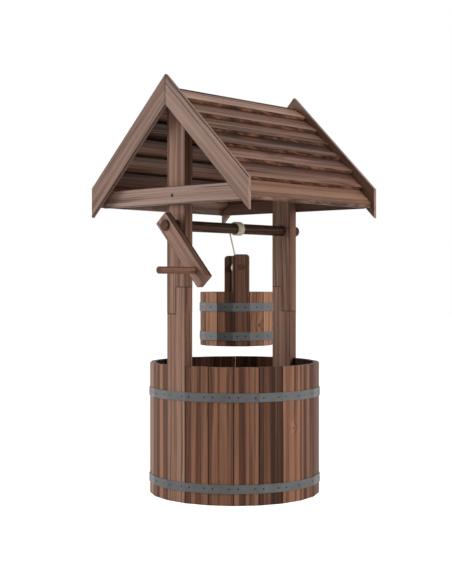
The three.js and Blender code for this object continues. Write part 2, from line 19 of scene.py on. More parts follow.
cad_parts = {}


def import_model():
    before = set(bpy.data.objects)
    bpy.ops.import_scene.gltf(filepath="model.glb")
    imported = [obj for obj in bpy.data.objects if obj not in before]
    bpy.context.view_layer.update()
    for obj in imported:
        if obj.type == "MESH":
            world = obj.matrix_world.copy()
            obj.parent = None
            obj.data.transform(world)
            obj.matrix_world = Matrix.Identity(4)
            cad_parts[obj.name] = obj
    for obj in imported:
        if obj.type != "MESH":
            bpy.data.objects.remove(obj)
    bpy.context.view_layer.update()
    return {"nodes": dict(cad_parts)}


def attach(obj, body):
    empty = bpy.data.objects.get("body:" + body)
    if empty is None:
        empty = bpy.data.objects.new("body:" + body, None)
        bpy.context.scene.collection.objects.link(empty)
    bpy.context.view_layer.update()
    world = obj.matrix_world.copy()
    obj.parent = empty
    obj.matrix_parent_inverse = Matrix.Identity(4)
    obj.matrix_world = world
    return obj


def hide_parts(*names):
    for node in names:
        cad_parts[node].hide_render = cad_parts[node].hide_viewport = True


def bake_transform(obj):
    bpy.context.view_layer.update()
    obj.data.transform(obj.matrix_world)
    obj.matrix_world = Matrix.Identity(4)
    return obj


LOG = logging.getLogger("wishing_well")

Triple = tuple[float, float, float]

MM = 0.001
WELL_Y = 0.0669
WELL_CENTRE = (0.0, WELL_Y, 0.0)
FIT_GAP = 0.3 * MM
PROUD = 0.02 * MM
HOOP_THICKNESS = 1.6 * MM
HOOP_HEIGHT = 24.2 * MM
AXLE_HEIGHT = 0.752
AXLE_RADIUS = 15 * MM
ROPE_DIAMETER = 4.8 * MM
DOWEL_HEIGHT = 0.640
DOWEL_RADIUS = 9.4 * MM
BUCKET_OFFSET = 4 * MM
BUCKET_TURN = math.radians(48.8)
BEVEL_ANGLE = math.radians(28.0)
BEVEL_SEGMENTS = 2
BEVEL_PROFILE = 0.6
FLAT_ANGLE = math.radians(0.6)
SMOOTH_ANGLE = math.radians(32.0)
WELD_DISTANCE = 2e-6
# Cosines from which a face counts as looking some way
ALIGNED = 0.9
ROUGHLY_ALIGNED = 0.8
GOLDEN_SHARE = 0.6180339
SEAM_REACH = 3 * MM
HEAD_RINGS = 6
STRANDS = 3
STRAND_SIDES = 8
# Shares of the rope's diameter
STRAND_REACH = 0.262
STRAND_RADIUS = 0.246
SIDES = (("left", -1.0), ("right", 1.0))
ENDS = (("front", -1.0), ("rear", 1.0))


class Body(str, Enum):
    """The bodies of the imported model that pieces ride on."""

    FRAME = "frame"
    WINDLASS = "windlass"
    HOIST = "hoist"
    BUCKET = "bucket"


class Slot(str, Enum):
    """The material slots of the record."""

    BARREL = "barrel_wood"
    ROOF = "roof_wood"
    BUCKET = "bucket_wood"
    HOOP = "hoop_steel"
    ROPE = "rope"


def operator(kind: str, swap: bool = False) -> Callable[["Term", "Value"], "Term"]:
    """Makes a method of a term that adds a math node.

    Args:
        kind: the node's operation.
        swap: whether the term comes second.

    Returns:
        The method.
    """
    def method(self: "Term", other: "Value") -> "Term":
        """Adds the node."""
        return self.graph.math(kind, *((other, self) if swap else (self, other)))
    return method


class Term:
    """A number inside a node tree. Arithmetic on terms adds the math nodes for it.

    A comparison gives a term too: 1 where it holds, 0 elsewhere.
    """

    def __init__(self, graph: "Graph", socket: bpy.types.NodeSocket) -> None:
        """Keeps the tree and the output socket that carries the number."""
        self.graph, self.socket = graph, socket

    __add__ = __radd__ = operator("ADD")
    __mul__ = __rmul__ = operator("MULTIPLY")
    __sub__, __rsub__ = operator("SUBTRACT"), operator("SUBTRACT", swap=True)
    __truediv__, __rtruediv__ = operator("DIVIDE"), operator("DIVIDE", swap=True)
    __mod__, __pow__ = operator("MODULO"), operator("POWER")
    __lt__, __gt__ = operator("LESS_THAN"), operator("GREATER_THAN")

    def __abs__(self) -> "Term":
        """The number without its sign."""
        return self.graph.math("ABSOLUTE", self)


Value = Union[Term, float, int]


class Graph:
    """Builds a shader or geometry tree as a list of steps."""

    def __init__(self, tree: bpy.types.NodeTree) -> None:
        """Keeps the tree that the nodes go into."""
        self.tree = tree

    def node(self, kind: str, *values: object, **settings: object) -> bpy.types.Node:
        """Adds one node.

        Args:
            kind: the node's type; one without Node in it is a shader node's.
            values: what its inputs take, in order; None leaves one alone.
            settings: inputs by their capitalised names, and the node's own properties.

        Returns:
            The new node.
        """
        node = self.tree.nodes.new(kind if "Node" in kind else f"ShaderNode{kind}")
        named = {key: settings.pop(key) for key in tuple(settings) if key[0].isupper()}
        for key, value in settings.items():
            setattr(node, key, value)
        sockets = [socket for socket in node.inputs if socket.enabled]
        pairs = list(zip(sockets, values))
        for key, value in named.items():
            pairs.append((next(s for s in sockets if s.name == key.replace("_", " ")), value))
        for socket, value in pairs:
            if isinstance(value, Term):
                self.tree.links.new(value.socket, socket)
            elif value is not None:
                socket.default_value = value
        return node

    def term(self, kind: str, *values: object, output: str = "", **settings: object) -> Term:
        """Adds one node and gives the output of that name, or its first one in use."""
        sockets = self.node(kind, *values, **settings).outputs
        return Term(self, next(s for s in sockets if s.enabled and output in ("", s.name)))

    def math(self, operation: str, *values: Value) -> Term:
        """A math node on numbers and terms."""
        return self.term("Math", *values, operation=operation)

    def vector(self, x: Value, y: Value, z: Value) -> Term:
        """Three numbers as a vector."""
        return self.term("CombineXYZ", x, y, z)

    def split(self, vector: Term) -> tuple[Term, ...]:
        """A vector's three numbers."""
        return tuple(Term(self, s) for s in self.node("SeparateXYZ", vector).outputs)

    def noise(self, place: Union[Term, tuple[Value, ...]], detail: float = 2.0,
              roughness: float = 0.5, scale: float = 1.0, output: str = "") -> Term:
        """Smooth noise at a vector or at three numbers."""
        vector = place if isinstance(place, Term) else self.vector(*place)
        return self.term("TexNoise", Vector=vector, Scale=scale, Detail=detail,
                         Roughness=roughness, output=output)

    def ramp(self, value: Term, *stops: tuple[float, Triple]) -> Term:
        """A colour ramp.

        Args:
            value: what it follows.
            stops: places and colours along it.

        Returns:
            The colour.
        """
        node = self.node("ValToRGB", value)
        elements = node.color_ramp.elements
        while len(elements) < len(stops):
            elements.new(0.5)
        for element, (place, colour) in zip(elements, stops):
            element.position, element.color = place, rgba(colour)
        return Term(self, node.outputs[0])

    def span(self, value: Term, low: float, high: float, start: float = 0.0,
             end: float = 1.0) -> Term:
        """Carries the range low to high over to start to end, smoothly and held at both ends."""
        return self.term("MapRange", value, low, high, start, end,
                         interpolation_type="SMOOTHSTEP")

    def bell(self, value: Term) -> Term:
        """1 at 0, and less and less away from it."""
        return self.math("EXPONENT", value ** 2.0 * -1.0)

    def mix(self, factor: Value, first: Term, second: Union[Term, Triple],
            mode: str = "MIX") -> Term:
        """Mixes two colours."""
        return self.term("Mix", factor, first, second if isinstance(second, Term)
                         else rgba(second), data_type="RGBA", blend_type=mode)


def rgba(colour: Triple) -> tuple[float, float, float, float]:
    """A colour with full cover, as sockets take it."""
    return (*colour, 1.0)


def tint(colour: Triple, share: float) -> Triple:
    """A colour made darker or lighter."""
    return tuple(share * part for part in colour)


class Paint(Graph):
    """A new material with its shader, ready for nodes."""

    def __init__(self, name: str, **constants: object) -> None:
        """Makes the material and sets the shader's constant sockets.

        Args:
            name: the new material.
            constants: the sockets' values, with _ for each space in a name.
        """
        self.material = bpy.data.materials.new(name)
        self.material.use_nodes = True
        super().__init__(self.material.node_tree)
        self.shader = next(n for n in self.tree.nodes if n.type == "BSDF_PRINCIPLED")
        for key, value in constants.items():
            self.shader.inputs[key.replace("_", " ")].default_value = value

    def attribute(self, name: str, output: str = "Fac") -> Term:
        """An attribute that the mesh carries."""
        return self.term("Attribute", attribute_name=name, output=output)

    def place(self) -> Term:
        """Object coordinates."""
        return self.term("TexCoord", output="Object")

    def feed(self, **terms: Term) -> None:
        """Links terms to the shader's sockets."""
        for key, term in terms.items():
            self.tree.links.new(term.socket, self.shader.inputs[key.replace("_", " ")])

    def bump(self, height: Term, strength: float, distance: float) -> None:
        """Gives the surface relief."""
        self.feed(Normal=self.term("Bump", Height=height, Strength=strength,
                                   Distance=distance))


@dataclass(frozen=True)
class Wood:
    """Oiled softwood. Its figure follows each board's own grain, pith and knots."""

    name: str
    dark: Triple = (0.028, 0.012, 0.008)
    brown: Triple = (0.125, 0.050, 0.028)
    mid: Triple = (0.220, 0.094, 0.052)
    light: Triple = (0.385, 0.182, 0.098)
    cut_brown: Triple = (0.095, 0.038, 0.019)
    cut_light: Triple = (0.330, 0.138, 0.068)
    band_width: float = 12 * MM
    board_contrast: float = 0.62
    figure_contrast: float = 0.9
    ring_contrast: float = 1.1
    line_strength: float = 0.5
    strip_width: float = 24 * MM
    strip_contrast: float = 0.1
    wander: float = 22 * MM
    waver: float = 4 * MM
    edge_dirt: float = 0.8
    dirt_width: float = 1.9 * MM
    lap_darkening: float = 0.7
    sawn_foot: float = 0.0
    knots: tuple[tuple[Triple, float], ...] = ()
    roughness: float = 0.5

    def build(self) -> bpy.types.Material:
        """Builds the material.

        Returns:
            The wood. Its mesh carries grain, board, end_grain, half_width and shade, and
            half_depth and lap where it needs them.
        """
        g = Paint(self.name, IOR=1.45, Specular_IOR_Level=0.12)
        along, across, through = g.split(g.attribute("grain", "Vector"))
        board, end_grain, half_width, half_depth, shade, lap = (
            g.attribute(name)
            for name in ("board", "end_grain", "half_width", "half_depth", "shade", "lap"))
        # A board's number, times another factor for each noise, makes its figure its own
        start_x, start_y, start_z = g.split(g.term(
            "VectorMath", g.vector(board * 31.7, board * 17.3, board * 53.9),
            operation="FRACTION"))
        # Fibres wander slowly along the board, and waver a little on the way
        wander_x, wander_y, _ = g.split(g.noise(
            (along * 1.5 + board * 90.0, across * 4.0, through * 4.0), 1.0, output="Color"))
        waver = g.noise((along * 13.0 + board * 40.0, across * 22.0, through * 22.0), 1.0)
        # Knots are rare, and the rings run round them
        knot = g.term("TexVoronoi", Scale=1.0,
                      Vector=g.vector(along * 3.0, across * 7.0, board * 77.0))
        swell = g.bell(knot / 0.10)
        core: Value = 0.0
        for spot, size in self.knots:
            gap = g.term("VectorMath", g.place(), spot, operation="DISTANCE")
            swell = swell + g.bell(gap / (3.0 * size))
            core = g.span(gap + (waver - 0.5) * size, 0.5 * size, size, 1.0, 0.0) + core
        side = across + (wander_x - 0.5) * self.wander + (start_x - 0.5) * 0.11
        side = side + (waver - 0.5) * self.waver
        deep = through + (wander_y - 0.5) * self.wander - (start_y * 0.05 + 0.028)
        radius = g.math("SQRT", side * side + deep * deep) + swell * 0.008
        # Bands of colour, rings and dark lines, all at a distance from the pith
        band = g.noise((radius / self.band_width, along * 0.7, board * 61.0), 2.5, 0.6)
        ring = g.noise((radius / (0.25 * self.band_width), along * 1.6, board * 37.0), 1.5)
        line = g.noise((radius / (0.30 * self.band_width), along * 2.2, board * 19.0), 1.0)
        strip = g.noise(((across + through + wander_x * 4 * MM) / self.strip_width,
                         along * 0.2, board * 83.0), 1.0)
        fibre = g.noise((along * 22.0, across * 900.0, through * 900.0 + board * 40.0))
        tone = (band - 0.5) * self.figure_contrast + (ring - 0.5) * self.ring_contrast
        tone = tone + (fibre - 0.5) * 0.2
        tone = tone + g.span(strip, 0.47, 0.53, -0.5, 0.5) * self.strip_contrast
        tone = tone + (start_z - 0.5) * self.board_contrast + 0.5
        colour = g.ramp(tone, (0.10, self.dark), (0.36, self.brown), (0.58, self.mid),
                        (0.90, self.light))
        lines = g.span(line, 0.58, 0.66) * self.line_strength
        heart = g.math("MAXIMUM", g.span(knot, 0.020, 0.040, 1.0, 0.0), core * 0.6)
        colour = g.mix(g.math("MAXIMUM", heart, lines), colour, self.dark)
        # Cut ends drink the oil and dry darker; sawn lower edges are mottled
        mottle = g.noise((along * 15.0 + through * 30.0 + board * 50.0, across * 60.0,
                          through * 45.0), 3.0, 0.68)
        blotch = g.ramp(mottle, (0.40, tint(self.dark, 0.4)), (0.50, self.cut_brown),
                        (0.64, self.cut_light))
        foot = g.span(lap, 0.83, 0.87) * g.span(shade, 0.6, 0.9) * self.sawn_foot
        edge = g.span(end_grain, 0.3, 0.45) - g.span(end_grain, 0.55, 0.7)
        colour = g.mix(g.math("MAXIMUM", edge, foot) * 0.85, colour, blotch)
        colour = g.mix(g.span(end_grain, 0.6, 0.9) * 0.75, colour, self.brown)
        # Dirt settles along the edges of each board
        inset = g.math("MAXIMUM", half_width - abs(across), half_depth - abs(through))
        dirt = g.span(inset, 0.6 * MM, self.dirt_width, self.edge_dirt, 0.0)
        colour = g.mix(dirt, colour, tint(self.dark, 0.6))
        # A slat darkens towards the one that laps over it, with painted shade and grime; an eave
        # board darkens towards its lower edge
        darkening = g.span(lap + (mottle - 0.5) * 0.2, 0.40, 1.0, 0.0, self.lap_darkening)
        colour = g.mix(darkening * (1 - foot * 0.8), colour, tint(self.dark, 0.8))
        # Painted shade: sides that see little light are darker, and redder
        painted_shade_tint = g.vector(shade, shade ** 1.2, shade ** 1.35)
        g.feed(Base_Color=g.mix(1.0, colour, painted_shade_tint, "MULTIPLY"),
               Roughness=g.span(tone, 0.0, 1.0, self.roughness + 0.1, self.roughness - 0.08))
        g.bump(fibre * 0.5 + ring * 0.6 + band * 0.4, 0.25, 0.6 * MM)
        return g.material


@dataclass(frozen=True)
class Zinc:
    """Dull galvanised strap, faintly mottled. The mesh carries a number by flat: painted light
    and shade.
    """

    name: str
    base: Triple = (0.118, 0.119, 0.119)
    roughness: float = 0.45

    def build(self) -> bpy.types.Material:
        """Builds the material.

        Returns:
            The zinc.
        """
        g = Paint(self.name, Metallic=0.30, Specular_IOR_Level=0.25)
        bloom = g.noise(g.place(), 4.0, 0.65, 55.0)
        rub = g.noise(g.place(), scale=14.0)
        colour = g.ramp(bloom * 0.6 + rub * 0.4, (0.30, tint(self.base, 0.78)),
                        (0.5, self.base), (0.72, tint(self.base, 1.25)))
        # Painted light and shade: each flat is made lighter or darker
        flat_light_shade = g.attribute("flat_light_shade")
        g.feed(Base_Color=g.mix(1.0, colour, g.vector(flat_light_shade, flat_light_shade, flat_light_shade), "MULTIPLY"),
               Roughness=g.span(bloom, 0.3, 0.7, self.roughness - 0.07, self.roughness + 0.12))
        g.bump(bloom, 0.12, 0.2 * MM)
        return g.material


@dataclass(frozen=True)
class Iron:
    """Dark nail and screw heads."""

    name: str
    base: Triple = (0.012, 0.012, 0.012)
    rusty: Triple = (0.040, 0.028, 0.022)

    def build(self) -> bpy.types.Material:
        """Builds the material.

        Returns:
            The iron.
        """
        g = Paint(self.name, Metallic=0.4, Specular_IOR_Level=0.2)
        rust = g.noise(g.place(), scale=700.0)
        g.feed(Base_Color=g.ramp(rust, (0.4, self.base), (0.7, self.rusty)),
               Roughness=g.span(rust, 0.3, 0.7, 0.45, 0.65))
        return g.material


@dataclass(frozen=True)
class Cord:
    """Undyed twisted cord. The mesh carries lay: along the strand and round it."""

    name: str
    dark: Triple = (0.34, 0.28, 0.19)
    light: Triple = (0.93, 0.86, 0.68)

    def build(self) -> bpy.types.Material:
        """Builds the material.

        Returns:
            The cord.
        """
        g = Paint(self.name, Roughness=0.92, Specular_IOR_Level=0.15)
        length, turn, strand = g.split(g.attribute("lay", "Vector"))
        yarn = g.noise((length * 260.0, turn * 2.4 + length * 900.0, strand * 7.0))
        hair = g.noise(g.place(), 3.0, 0.7, 1500.0)
        tone = yarn * 0.6 + hair * 0.4
        g.feed(Base_Color=g.ramp(tone, (0.30, self.dark), (0.52, self.light)))
        g.bump(tone, 0.5, 0.3 * MM)
        return g.material


@dataclass(frozen=True)
class GlueAndShade:
    """The dark line of a glued joint, and the painted shade in its gap."""

    name: str
    base: Triple = (0.020, 0.012, 0.010)

    def build(self) -> bpy.types.Material:
        """Builds the material and returns it."""
        return Paint(self.name, Roughness=0.8, Specular_IOR_Level=0.1,
                     Base_Color=rgba(self.base)).material


class Finish(Enum):
    """The finishes, by what wears them. A wood's colours go from dark to light."""

    BARREL = Wood("barrel_wood_oiled", (0.052, 0.023, 0.015), (0.125, 0.055, 0.034),
                  (0.222, 0.102, 0.062), (0.388, 0.193, 0.115), band_width=11 * MM,
                  ring_contrast=0.45, strip_contrast=0.32, strip_width=22 * MM, edge_dirt=1.0,
                  dirt_width=2.4 * MM, waver=2.5 * MM,
                  knots=(((0.2393, 0.0382, 0.2013), 4 * MM),))
    ROOF = Wood("roof_wood_oiled", (0.060, 0.034, 0.027), (0.240, 0.140, 0.105),
                (0.370, 0.235, 0.185), (0.500, 0.350, 0.285), board_contrast=0.20,
                figure_contrast=0.65, ring_contrast=0.5, line_strength=0.7,
                strip_contrast=0.08, edge_dirt=1.0, dirt_width=3.2 * MM)
    LOUVRE = Wood("slat_wood_oiled", (0.034, 0.016, 0.011), (0.170, 0.082, 0.055),
                  (0.285, 0.153, 0.106), (0.440, 0.258, 0.172), band_width=9 * MM,
                  board_contrast=0.45, ring_contrast=0.9, edge_dirt=0.4, strip_contrast=0.12)
    EAVE = Wood("eave_wood_oiled", (0.060, 0.028, 0.018), (0.190, 0.094, 0.056),
                (0.290, 0.152, 0.096), (0.430, 0.240, 0.150), (0.150, 0.078, 0.050),
                (0.320, 0.180, 0.125), board_contrast=0.20, figure_contrast=0.8,
                ring_contrast=0.5, line_strength=0.3, lap_darkening=0.75, sawn_foot=1.0)
    TIMBER = Wood("post_wood_oiled", (0.042, 0.020, 0.014), (0.180, 0.092, 0.062),
                  (0.310, 0.172, 0.120), (0.470, 0.280, 0.195), board_contrast=0.30,
                  ring_contrast=0.7, strip_width=20 * MM)
    TURNED = Wood("rod_wood_oiled", brown=(0.110, 0.052, 0.033), mid=(0.190, 0.088, 0.055),
                  light=(0.300, 0.145, 0.093), band_width=8 * MM, board_contrast=0.7,
                  figure_contrast=1.0, line_strength=0.7)
    ARM = Wood("arm_wood_oiled", (0.042, 0.020, 0.014), (0.215, 0.115, 0.080),
               (0.345, 0.200, 0.148), (0.500, 0.315, 0.235), board_contrast=0.20,
               figure_contrast=1.3, ring_contrast=0.8, line_strength=0.7, strip_contrast=0.22)
    BUCKET = Wood("bucket_wood_oiled", brown=(0.175, 0.077, 0.043), mid=(0.300, 0.142, 0.080),
                  light=(0.530, 0.270, 0.150), board_contrast=0.6, line_strength=0.3,
                  band_width=15 * MM, ring_contrast=0.6, strip_contrast=0.22,
                  knots=(((0.1049, 0.0518, 0.4778), 7 * MM),))
    HOOP = Zinc("hoop_zinc")
    IRON = Iron("fastener_iron")
    GLUE_AND_SHADE = GlueAndShade("glue_and_shade_line")
    ROPE = Cord("rope_cord")

    @cached_property
    def material(self) -> bpy.types.Material:
        """The finish as a material, built once."""
        return self.value.build()


class Recipe(Graph):
    """A geometry tree with named inputs, and the modifier values that go with it."""

    def __init__(self, name: str) -> None:
        """Starts an empty tree with a geometry input and output.

        Args:
            name: the new tree.
        """
        super().__init__(bpy.data.node_groups.new(name, "GeometryNodeTree"))
        for way in ("INPUT", "OUTPUT"):
            self.tree.interface.new_socket("Geometry", in_out=way,
                                           socket_type="NodeSocketGeometry")
        self.inputs = self.tree.nodes.new("NodeGroupInput")
        self.identifiers: dict[str, str] = {}

    def take(self, *names: str, kind: str = "Float") -> list[Term]:
        """Declares named inputs of the tree, which make() fills.

        Args:
            names: what they are called.
            kind: the type of their sockets.

        Returns:
            Their values.
        """
        for name in names:
            self.identifiers[name] = self.tree.interface.new_socket(
                name, in_out="INPUT", socket_type=f"NodeSocket{kind}").identifier
        return [Term(self, self.inputs.outputs[name]) for name in names]

    def geo(self, kind: str, *values: object, **settings: object) -> Term:
        """A geometry node's first output, or the one that is named."""
        return self.term(f"GeometryNode{kind}", *values, **settings)

    def place(self) -> tuple[Term, ...]:
        """Where each corner stands."""
        return self.split(self.geo("InputPosition"))

    def facing(self) -> tuple[Term, ...]:
        """Where each face looks."""
        return self.split(self.geo("InputNormal"))

    def is_end(self, axis: int) -> Term:
        """1 for faces that look along an axis, either way."""
        return abs(self.facing()[axis]) > ALIGNED

    def chance(self, seed: Term) -> tuple[Term, Term]:
        """A copy's number in the row, and a random number of its own."""
        index = self.geo("InputIndex")
        return index, self.term("FunctionNodeRandomValue", ID=index, Seed=seed,
                                data_type="FLOAT")

    def store(self, geometry: Term, domain: str = "POINT", **values: Term) -> Term:
        """Keeps numbers or vectors on the geometry as named attributes.

        Args:
            geometry: what carries them.
            domain: POINT, FACE or INSTANCE.
            values: the attributes by name.

        Returns:
            The geometry with them.
        """
        for name, value in values.items():
            kind = "FLOAT_VECTOR" if value.socket.type == "VECTOR" else "FLOAT"
            geometry = self.geo("StoreNamedAttribute", Geometry=geometry, Name=name,
                                Value=value, data_type=kind, domain=domain)
        return geometry

    def recall(self, name: str) -> Term:
        """A number that the geometry carries."""
        return self.geo("InputNamedAttribute", name, data_type="FLOAT")

    def move(self, geometry: Term, x: Value, y: Value, z: Value) -> Term:
        """Puts each corner in its place."""
        return self.geo("SetPosition", Geometry=geometry, Position=self.vector(x, y, z))

    def turned(self, geometry: Term, centre: Term, turn: Value = 0.0) -> Term:
        """Turns the geometry about an upright axis and carries it there."""
        return self.geo("Transform", Geometry=geometry, Translation=centre,
                        Rotation=self.vector(0.0, 0.0, turn))

    def heads(self, points: Term, segments: int, rotation: Term, wanted: Value = True) -> Term:
        """Flattened round heads on points.

        Args:
            points: where they go.
            segments: how round they are.
            rotation: how each is turned.
            wanted: which points get one.

        Returns:
            The heads.
        """
        radius, rise = self.take("head_radius", "head_rise")
        head = self.geo("Transform", Geometry=self.geo("MeshUVSphere", segments, HEAD_RINGS, 1.0),
                        Scale=self.vector(radius, rise, radius))
        return self.geo("InstanceOnPoints", Points=points, Selection=wanted, Instance=head,
                        Rotation=rotation)

    def finish(self, geometry: Term) -> "Recipe":
        """Ends the tree in Realize Instances and Set Material.

        Args:
            geometry: what has been built.

        Returns:
            The recipe itself.
        """
        (material,) = self.take("material", kind="Material")
        real = self.geo("RealizeInstances", geometry)
        self.node("NodeGroupOutput", self.geo("SetMaterial", Geometry=real, Material=material))
        return self

    def make(self, name: str, finish: Finish, source: object = None,
             mesh: Optional[bpy.types.Mesh] = None, bevel: float = 0.0,
             **values: object) -> bpy.types.Object:
        """Runs the tree on a new object and keeps the result as a plain mesh.

        Args:
            name: the new piece.
            finish: what it wears.
            source: whose fields fill the inputs that values leaves out.
            mesh: what the tree starts from, or nothing.
            bevel: width of the rounded edges, or 0.
            values: the tree's inputs by name.

        Returns:
            The piece, with no modifier left and its faces pointing outwards.
        """
        piece = linked(name, mesh or bpy.data.meshes.new(name))
        modifier = piece.modifiers.new(self.tree.name, "NODES")
        modifier.node_group = self.tree
        values["material"] = finish.material
        for key, identifier in self.identifiers.items():
            modifier[identifier] = values[key] if key in values else getattr(source, key)
        if bevel:
            rounding = piece.modifiers.new("rounding", "BEVEL")
            rounding.width, rounding.segments = bevel, BEVEL_SEGMENTS
            rounding.limit_method, rounding.angle_limit = "ANGLE", BEVEL_ANGLE
            rounding.harden_normals = False
        graph = bpy.context.evaluated_depsgraph_get()
        graph.update()
        mesh = bpy.data.meshes.new_from_object(
            piece.evaluated_get(graph), preserve_all_data_layers=True, depsgraph=graph)
        piece.modifiers.clear()
        shape = bmesh.new()
        shape.from_mesh(mesh)
        piece.data = outward(shape, mesh)
        mesh.name = name
        return piece


def linked(name: str, data: bpy.types.ID) -> bpy.types.Object:
    """A new object in the scene.

    Args:
        name: what it is called.
        data: its mesh, lamp or camera.

    Returns:
        The object.
    """
    thing = bpy.data.objects.new(name, data)
    bpy.context.scene.collection.objects.link(thing)
    return thing


def outward(shape: bmesh.types.BMesh, mesh: bpy.types.Mesh) -> bpy.types.Mesh:
    """Writes a shape to a mesh with its faces pointing outwards.

    Args:
        shape: the shape, which is freed.
        mesh: the mesh that takes it.

    Returns:
        The mesh.
    """
    bmesh.ops.recalc_face_normals(shape, faces=shape.faces)
    shape.to_mesh(mesh)
    shape.free()
    return mesh


def keep(mesh: bpy.types.Mesh, name: str, values: np.ndarray, domain: str = "POINT") -> None:
    """Keeps numbers, or rows of three, on a mesh as an attribute.

    Args:
        mesh: the mesh.
        name: the attribute.
        values: one for each of its corners or faces.
        domain: POINT or FACE.
    """
    kind, part = ("FLOAT_VECTOR", "vector") if values.ndim == 2 else ("FLOAT", "value")
    stored = mesh.attributes.new(name, kind, domain)
    stored.data.foreach_set(part, values.astype(np.float32).ravel())


@dataclass
class Joiner:
    """Cuts boards to the shape of their CAD nodes, with eased edges and a grain direction."""

    nodes: dict[str, bpy.types.Object]
    made: int = 0

    def shape(self, node: str, edge: float) -> bpy.types.Mesh:
        """The node's shape as one closed mesh.

        Args:
            node: the CAD node.
            edge: width of the eased edges, or 0.

        Returns:
            A new mesh.
        """
        shape = bmesh.new()
        shape.from_mesh(self.nodes[node].data)
        bmesh.ops.remove_doubles(shape, verts=shape.verts, dist=WELD_DISTANCE)
        bmesh.ops.dissolve_limit(shape, angle_limit=FLAT_ANGLE, verts=shape.verts,
                                 edges=shape.edges)
        if edge:
            sharp = [e for e in shape.edges
                     if e.is_manifold and e.calc_face_angle(0.0) > BEVEL_ANGLE]
            bmesh.ops.bevel(shape, geom=sharp, offset=edge, segments=BEVEL_SEGMENTS,
                            profile=BEVEL_PROFILE, affect="EDGES", clamp_overlap=True)
        return outward(shape, bpy.data.meshes.new(node))

    def board(self, name: str, node: str, along: Triple, finish: Finish,
              edge: float = 1.0 * MM, smooth: bool = False, number: Optional[float] = None,
              side_shade: float = 1.0, inside: Triple = (0.0, 0.0, 0.0),
              darker_foot: bool = False) -> bpy.types.Object:
        """One board, dowel or post whose shape the CAD gives.

        Args:
            name: the new piece.
            node: the CAD node that it replaces.
            along: direction of the grain.
            finish: what it wears.
            edge: width of the eased edges.
            smooth: whether gentle angles are shaded as curves.
            number: what the board's figure and tone come from, or nothing for the next one.
            side_shade: how much darker painted shade makes its narrow sides, or its inner face.
            inside: where the inner face looks; the narrow sides stay as they are then.
            darker_foot: whether it grows darker towards its lower edge.

        Returns:
            The piece.
        """
        mesh = self.shape(node, edge)
        mesh.materials.append(finish.material)
        self.made += 1
        chance = (self.made * GOLDEN_SHARE) % 1.0 if number is None else number
        self.grain(mesh, Vector(along).normalized(), chance, side_shade, Vector(inside))
        if darker_foot:
            heights = np.array([vertex.co.z for vertex in mesh.vertices], np.float32)
            keep(mesh, "lap", (heights.max() - heights) / np.ptp(heights))
        mesh.shade_flat()
        if smooth:
            mesh.shade_smooth()
            mesh.set_sharp_from_angle(angle=SMOOTH_ANGLE)
        return linked(name, mesh)

    def rod(self, name: str, node: str, along: Triple, number: float) -> bpy.types.Object:
        """A turned rod, its ends left sharp."""
        return self.board(name, node, along, Finish.TURNED, 0.0, True, number)

    @staticmethod
    def grain(mesh: bpy.types.Mesh, along: Vector, board: float, side_shade: float,
              inside: Vector) -> None:
        """Keeps on the mesh what the wood's figure follows.

        Args:
            mesh: the board.
            along: direction of the grain.
            board: the board's number.
            side_shade: how much darker painted shade makes its narrow sides, or its inner face.
            inside: where the inner face looks, or nothing.
        """
        points = np.array([vertex.co for vertex in mesh.vertices])
        across = along.cross(Vector((0.0, 0.0, 1.0)))
        if abs(along.z) > ALIGNED:
            # An upright board lies the way in which it is widest
            flat = points[:, :2] - points[:, :2].mean(0)
            wide = np.linalg.eigh(flat.T @ flat)[1][:, 1]
            across = Vector((wide[0], wide[1], 0.0))
        across.normalize()
        through = along.cross(across)
        local = np.stack([points @ np.array(axis) for axis in (along, across, through)], axis=1)
        local -= (local.max(0) + local.min(0)) / 2
        if np.ptp(local[:, 1]) < np.ptp(local[:, 2]):
            local, across = local[:, [0, 2, 1]], through
        keep(mesh, "grain", local)
        _, width, depth = np.ptp(local, axis=0)
        for name, value in (("board", board), ("half_width", width / 2),
                            ("half_depth", depth / 2)):
            keep(mesh, name, np.full(len(points), value))
        normals = [face.normal for face in mesh.polygons]
        ends = [abs(n.dot(along)) > ROUGHLY_ALIGNED for n in normals]
        keep(mesh, "end_grain", np.array(ends), "FACE")
        # Painted shade: the narrow sides, or else the inner face, are darker
        turned = [n.dot(inside) if inside.length else abs(n.dot(across)) for n in normals]
        shades = np.where(np.array(turned) > ROUGHLY_ALIGNED, side_shade, 1.0)
        keep(mesh, "shade", shades, "FACE")


